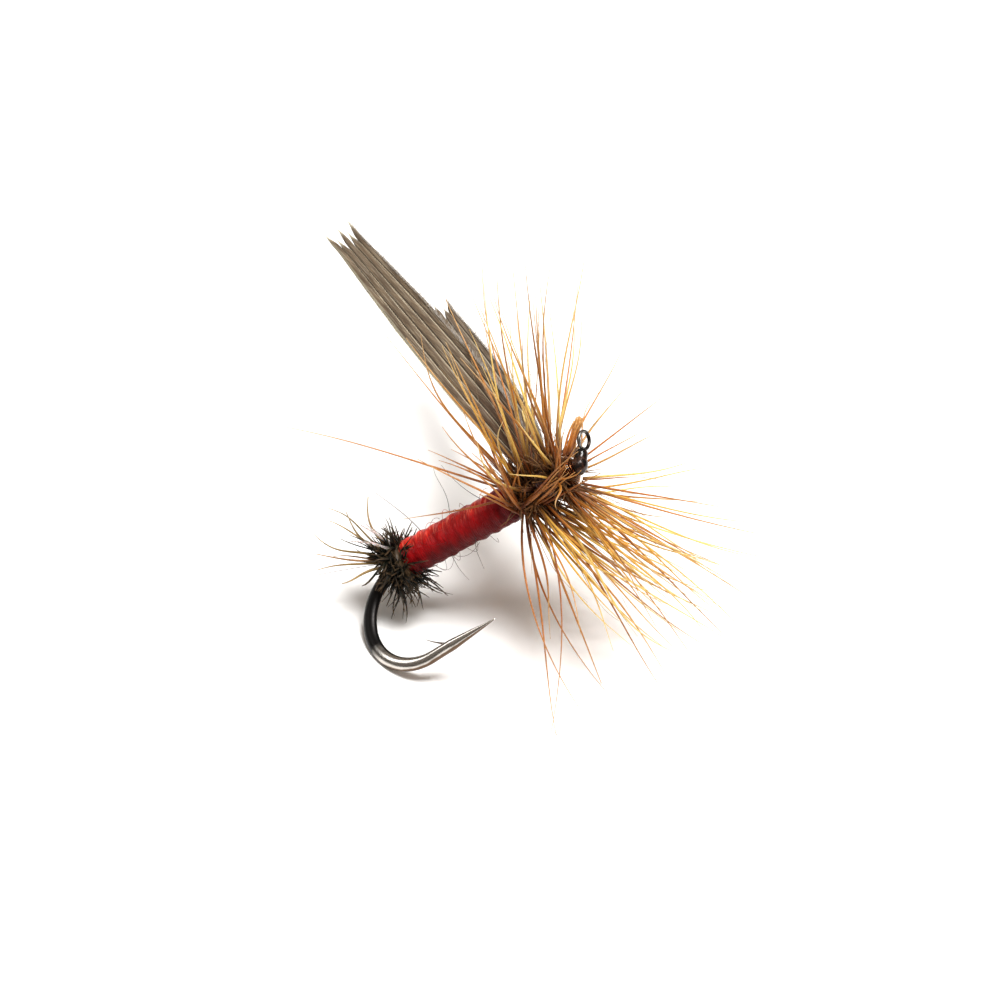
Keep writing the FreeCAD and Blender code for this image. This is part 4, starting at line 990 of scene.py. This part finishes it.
def make_wing(name, node, side_sign, rake, look, fuzz, seed):
    """One slip: barbs side by side, each a rib with a thin web, parted into points at the tip."""
    draw = random.Random(seed)
    reach, chord, thick = wing_axes(side_sign, rake)
    root = ALONG * WING_STATION
    shares, broads = zip(*WING_OUTLINE)
    barbs = len(BARB_ENDS)
    rows = 170
    v = np.array(BARB_COLUMNS)
    rib = np.exp(-(((v - RIB_PLACE) / RIB_HALF_WIDTH) ** 2))
    line = np.exp(-(((v - LINE_PLACE) / LINE_HALF_WIDTH) ** 2))
    sag = -0.030 * np.sin(math.pi * np.clip((v - 0.1) / 0.9, 0, 1))
    mass = Mass()
    webs = []
    for k in range(barbs):
        end = BARB_ENDS[k]
        s = np.linspace(0.012, end, rows)
        width = WING_WIDTH * np.interp(s, shares, broads)
        left = (k / barbs - 0.5) * width
        right = ((k + 1.03) / barbs - 0.5) * width
        part = smooth(end - 0.075, end, s)
        narrow = 1 - 0.95 * smooth(end - 0.062, end, s) ** 1.2
        outward = (k - (barbs - 1) / 2) * 0.055 * part
        lean = draw.uniform(-0.02, 0.05) * part
        middle = (left + right) / 2 + outward + lean
        cross = middle[:, None] + (v[None, :] - 0.5) * ((right - left) * narrow)[:, None]
        lead = WING_LEAD * np.minimum(1.0, s * 4)
        curl = 0.12 * np.sin(math.pi * s) + 0.07 * part * draw.uniform(-1, 1)
        layer = (0.028 + 0.034 * rib)[None, :] * (1.1 - 0.6 * s)[:, None]
        rise = curl[:, None] + (0.035 * rib + sag - 0.018 * line)[None, :]
        rise = rise + (0.012 * np.sin(9 * s + k))[:, None] + 0.012 * (k - 2)
        base = root + reach * (WING_LENGTH * s[:, None, None]) + chord * (lead[:, None] + cross)[:, :, None]
        top = base + thick * (rise + layer)[:, :, None]
        low = base + thick * (rise - 0.012)[:, :, None]
        ring = np.concatenate([top, low[:, ::-1]], axis=1)
        count = ring.shape[1]
        quads = grid_faces(rows, count, True)
        first = np.arange(count)[None, :]
        last = first + (rows - 1) * count
        own = rib * draw.uniform(0.55, 1.0) - line
        tone = np.broadcast_to(np.concatenate([own, own[::-1]]), (rows, count))
        along = np.broadcast_to(s[:, None], (rows, count))
        mass.add(ring.reshape(-1, 3), [quads[:, ::-1], first, last[:, ::-1]], along.reshape(-1), tone.reshape(-1))
        both = np.concatenate([cross, cross[:, ::-1]], axis=1)
        edge_share = np.concatenate([v, v[::-1]])[None, :]
        trailing = (1 - smooth(0.05, 0.50, edge_share)) * (k == 0) * smooth(0.15, 0.4, s)[:, None] * 0.85
        pale_points = smooth(end - 0.040, end - 0.004, s)[:, None] * 0.85
        pale = np.maximum(np.broadcast_to(trailing, (rows, count)), pale_points)
        lengths = np.broadcast_to(s[:, None] * WING_LENGTH, (rows, count))
        webs.append(np.stack([lengths, both + 3.0 * k, pale], -1).reshape(-1, 3))
    made = mass.piece(name, look, "quill_grey", node)
    layer = made.data.attributes.new("web", "FLOAT_VECTOR", "POINT")
    layer.data.foreach_set("vector", np.concatenate(webs).astype(np.float32).ravel())
    lines = []
    share = np.linspace(0, 1, 6)[:, None]
    for _ in range(900):
        s = draw.uniform(0.08, 0.965)
        leading = draw.random() < 0.75
        width = WING_WIDTH * float(np.interp(s, shares, broads)) / 2
        place = width * (1.02 if leading else -0.99)
        start = root + reach * (WING_LENGTH * s) + chord * (WING_LEAD * min(1.0, 4 * s) + place) + thick * 0.02
        outward = chord * (1 if leading else -1)
        length = draw.uniform(0.08, 0.34) * (1.0 if leading else 0.45)
        direction = outward * draw.uniform(0.5, 1.0) + reach * draw.uniform(0.3, 1.0) + thick * draw.gauss(0, 0.25)
        lines.append(start - outward * 0.06 + unit(direction) * (length * share) + reach * (0.12 * length * share**2))
    mass = Mass()
    tubes(mass, np.array(lines), 0.008 - 0.005 * share[:, 0], spread_tones(draw, len(lines)), 4)
    mass.piece(name + "_down", fuzz, "quill_grey")


# ---------------------------------------------------------------- the scene

CAMERA_YAW = math.radians(2.17)
CAMERA_ELEVATION = math.radians(40.0)
CAMERA_DISTANCE = 800.0
FRAME_WIDTH = 41.3
SENSOR = 36.0


def make_camera():
    yaw = Matrix.Rotation(CAMERA_YAW, 3, "Z")
    target = (Vector(STAND) + yaw @ Vector((4.13, 0.0, 3.40))) * MM
    level = math.cos(CAMERA_ELEVATION)
    look = yaw @ Vector((0.0, level, -math.sin(CAMERA_ELEVATION)))
    camera = bpy.data.cameras.new("camera")
    camera.sensor_width = SENSOR
    camera.lens = SENSOR * CAMERA_DISTANCE / FRAME_WIDTH
    camera.clip_start = 0.01
    camera.clip_end = 10.0
    made = bpy.data.objects.new("camera", camera)
    made.location = target - look * (CAMERA_DISTANCE * MM)
    made.rotation_mode = "QUATERNION"
    made.rotation_quaternion = look.to_track_quat("-Z", "Y")
    bpy.context.scene.collection.objects.link(made)
    bpy.context.scene.camera = made


def area_light(name, place, target, size, power):
    light = bpy.data.lights.new(name, "AREA")
    light.shape = "DISK"
    light.size = size
    light.energy = power
    made = bpy.data.objects.new(name, light)
    made.location = place
    made.rotation_mode = "QUATERNION"
    made.rotation_quaternion = (Vector(target) - Vector(place)).to_track_quat("-Z", "Y")
    bpy.context.scene.collection.objects.link(made)


def make_world():
    """Soft light from all round, darker towards the horizon; the camera sees it as plain white."""
    world = bpy.data.worlds.new("studio")
    bpy.context.scene.world = world
    world.use_nodes = True
    tree = world.node_tree
    background = tree.nodes["Background"]
    coordinates = tree.nodes.new("ShaderNodeTexCoord")
    split = tree.nodes.new("ShaderNodeSeparateXYZ")
    ramp = tree.nodes.new("ShaderNodeValToRGB")
    ramp.color_ramp.elements[0].position = 0.05
    ramp.color_ramp.elements[0].color = (0.04, 0.035, 0.03, 1)
    ramp.color_ramp.elements[1].position = 0.85
    ramp.color_ramp.elements[1].color = (0.41, 0.365, 0.325, 1)
    tree.links.new(coordinates.outputs["Generated"], split.inputs[0])
    tree.links.new(split.outputs[2], ramp.inputs["Fac"])
    path = tree.nodes.new("ShaderNodeLightPath")
    mix = tree.nodes.new("ShaderNodeMix")
    mix.data_type = "RGBA"
    tree.links.new(path.outputs["Is Camera Ray"], mix.inputs[0])
    tree.links.new(ramp.outputs["Color"], mix.inputs[6])
    mix.inputs[7].default_value = WHITE
    tree.links.new(mix.outputs[2], background.inputs["Color"])
    background.inputs["Strength"].default_value = 1.0


def make_table(look):
    size = 1.5
    steps = np.linspace(-size, size, 41)
    x, y = np.meshgrid(steps, steps, indexing="ij")
    mesh = bpy.data.meshes.new("table")
    points = np.stack([x, y, np.zeros_like(x)], -1).reshape(-1, 3)
    mesh.from_pydata(points.tolist(), [], grid_faces(41, 41, False)[:, ::-1].tolist())
    mesh.materials.append(look)
    table = bpy.data.objects.new("table", mesh)
    bpy.context.scene.collection.objects.link(table)


def make_fly():
    steel = hook_look()
    make_hook(steel)
    make_eye(steel)
    red = floss_look()
    brown = thread_look("thread_waxed", colour(34, 16, 12), colour(92, 44, 28), 0.42)
    dark = thread_look("head_thread", colour(20, 10, 8), colour(70, 32, 20), 0.34, 1.0)
    make_floss_body(red)
    make_windings(brown, dark, red, dark_turn_look())
    make_neck_bead(bead_look())
    make_varnish(varnish_look())
    make_flyaways(red)
    make_herl(herl_look())
    tan = barb_look(
        "tail_tan",
        colour(52, 42, 26),
        [colour(96, 78, 44), colour(150, 120, 66), colour(128, 96, 60), colour(176, 120, 58)],
        colour(196, 168, 120),
    )
    strand_piece("tail_fibres_soft", "tail_fibres", tan, "feather_tan", 50, 0.068, 0.016, 20, 0.30, 1.4)
    strand_piece("tag_fluff_soft", "tag_fluff", fluff_look(), "floss_pale", 51, 0.075, 0.02, 14, 0.12, 1.0)
    strand_piece("stray_hairs_soft", "stray_hairs", hair_look(), "hair_black", 52, 0.019, 0.007, 22, 0.16, 1.0, 6)
    golden = barb_look(
        "hackle_golden",
        colour(116, 58, 16),
        [colour(122, 70, 22), colour(178, 114, 38), colour(212, 158, 58), colour(236, 202, 112), colour(150, 94, 54)],
        colour(242, 220, 166),
    )
    ginger = barb_look(
        "hackle_brown",
        colour(92, 42, 16),
        [colour(130, 68, 24), colour(172, 102, 38), colour(190, 126, 66)],
        colour(208, 168, 104),
        lighter=0.5,
    )
    fine = barb_look(
        "hackle_fine",
        colour(60, 40, 26),
        [colour(72, 64, 58), colour(150, 110, 60), colour(96, 76, 60), colour(190, 140, 80)],
        colour(200, 170, 120),
    )
    down = barb_look(
        "hackle_down",
        colour(34, 18, 12),
        [colour(66, 40, 22), colour(106, 72, 36), colour(84, 48, 30)],
        colour(140, 94, 50),
        gloss=0.45,
    )
    make_hackle(golden, ginger, down)
    make_fine_barbs(fine)
    make_web(down)
    make_swept_barbs(ginger)
    make_stub(ginger)
    near = wing_look(
        "wing_near", colour(128, 110, 87), colour(74, 60, 46), colour(222, 210, 186), colour(206, 198, 172), colour(74, 46, 24)
    )
    far = wing_look(
        "wing_far", colour(120, 104, 86), colour(80, 67, 53), colour(192, 180, 160), colour(198, 190, 172), colour(92, 62, 34)
    )
    fuzz = fuzz_look()
    make_wing("wing_left_quill", "wing_slip_left", -1, LEFT_WING_RAKE, near, fuzz, 21)
    make_wing("wing_right_quill", "wing_slip_right", 1, RIGHT_WING_RAKE, far, fuzz, 22)


make_world()
make_table(table_look())
area_light("key", (0.058, -0.022, 0.25), (0, 0, 0), 0.12, 1.16)
area_light("fill", (-0.25, 0.10, 0.16), (0, 0, 0.005), 0.10, 0.10)
make_camera()
make_fly()
bpy.context.scene.view_settings.view_transform = "Standard"
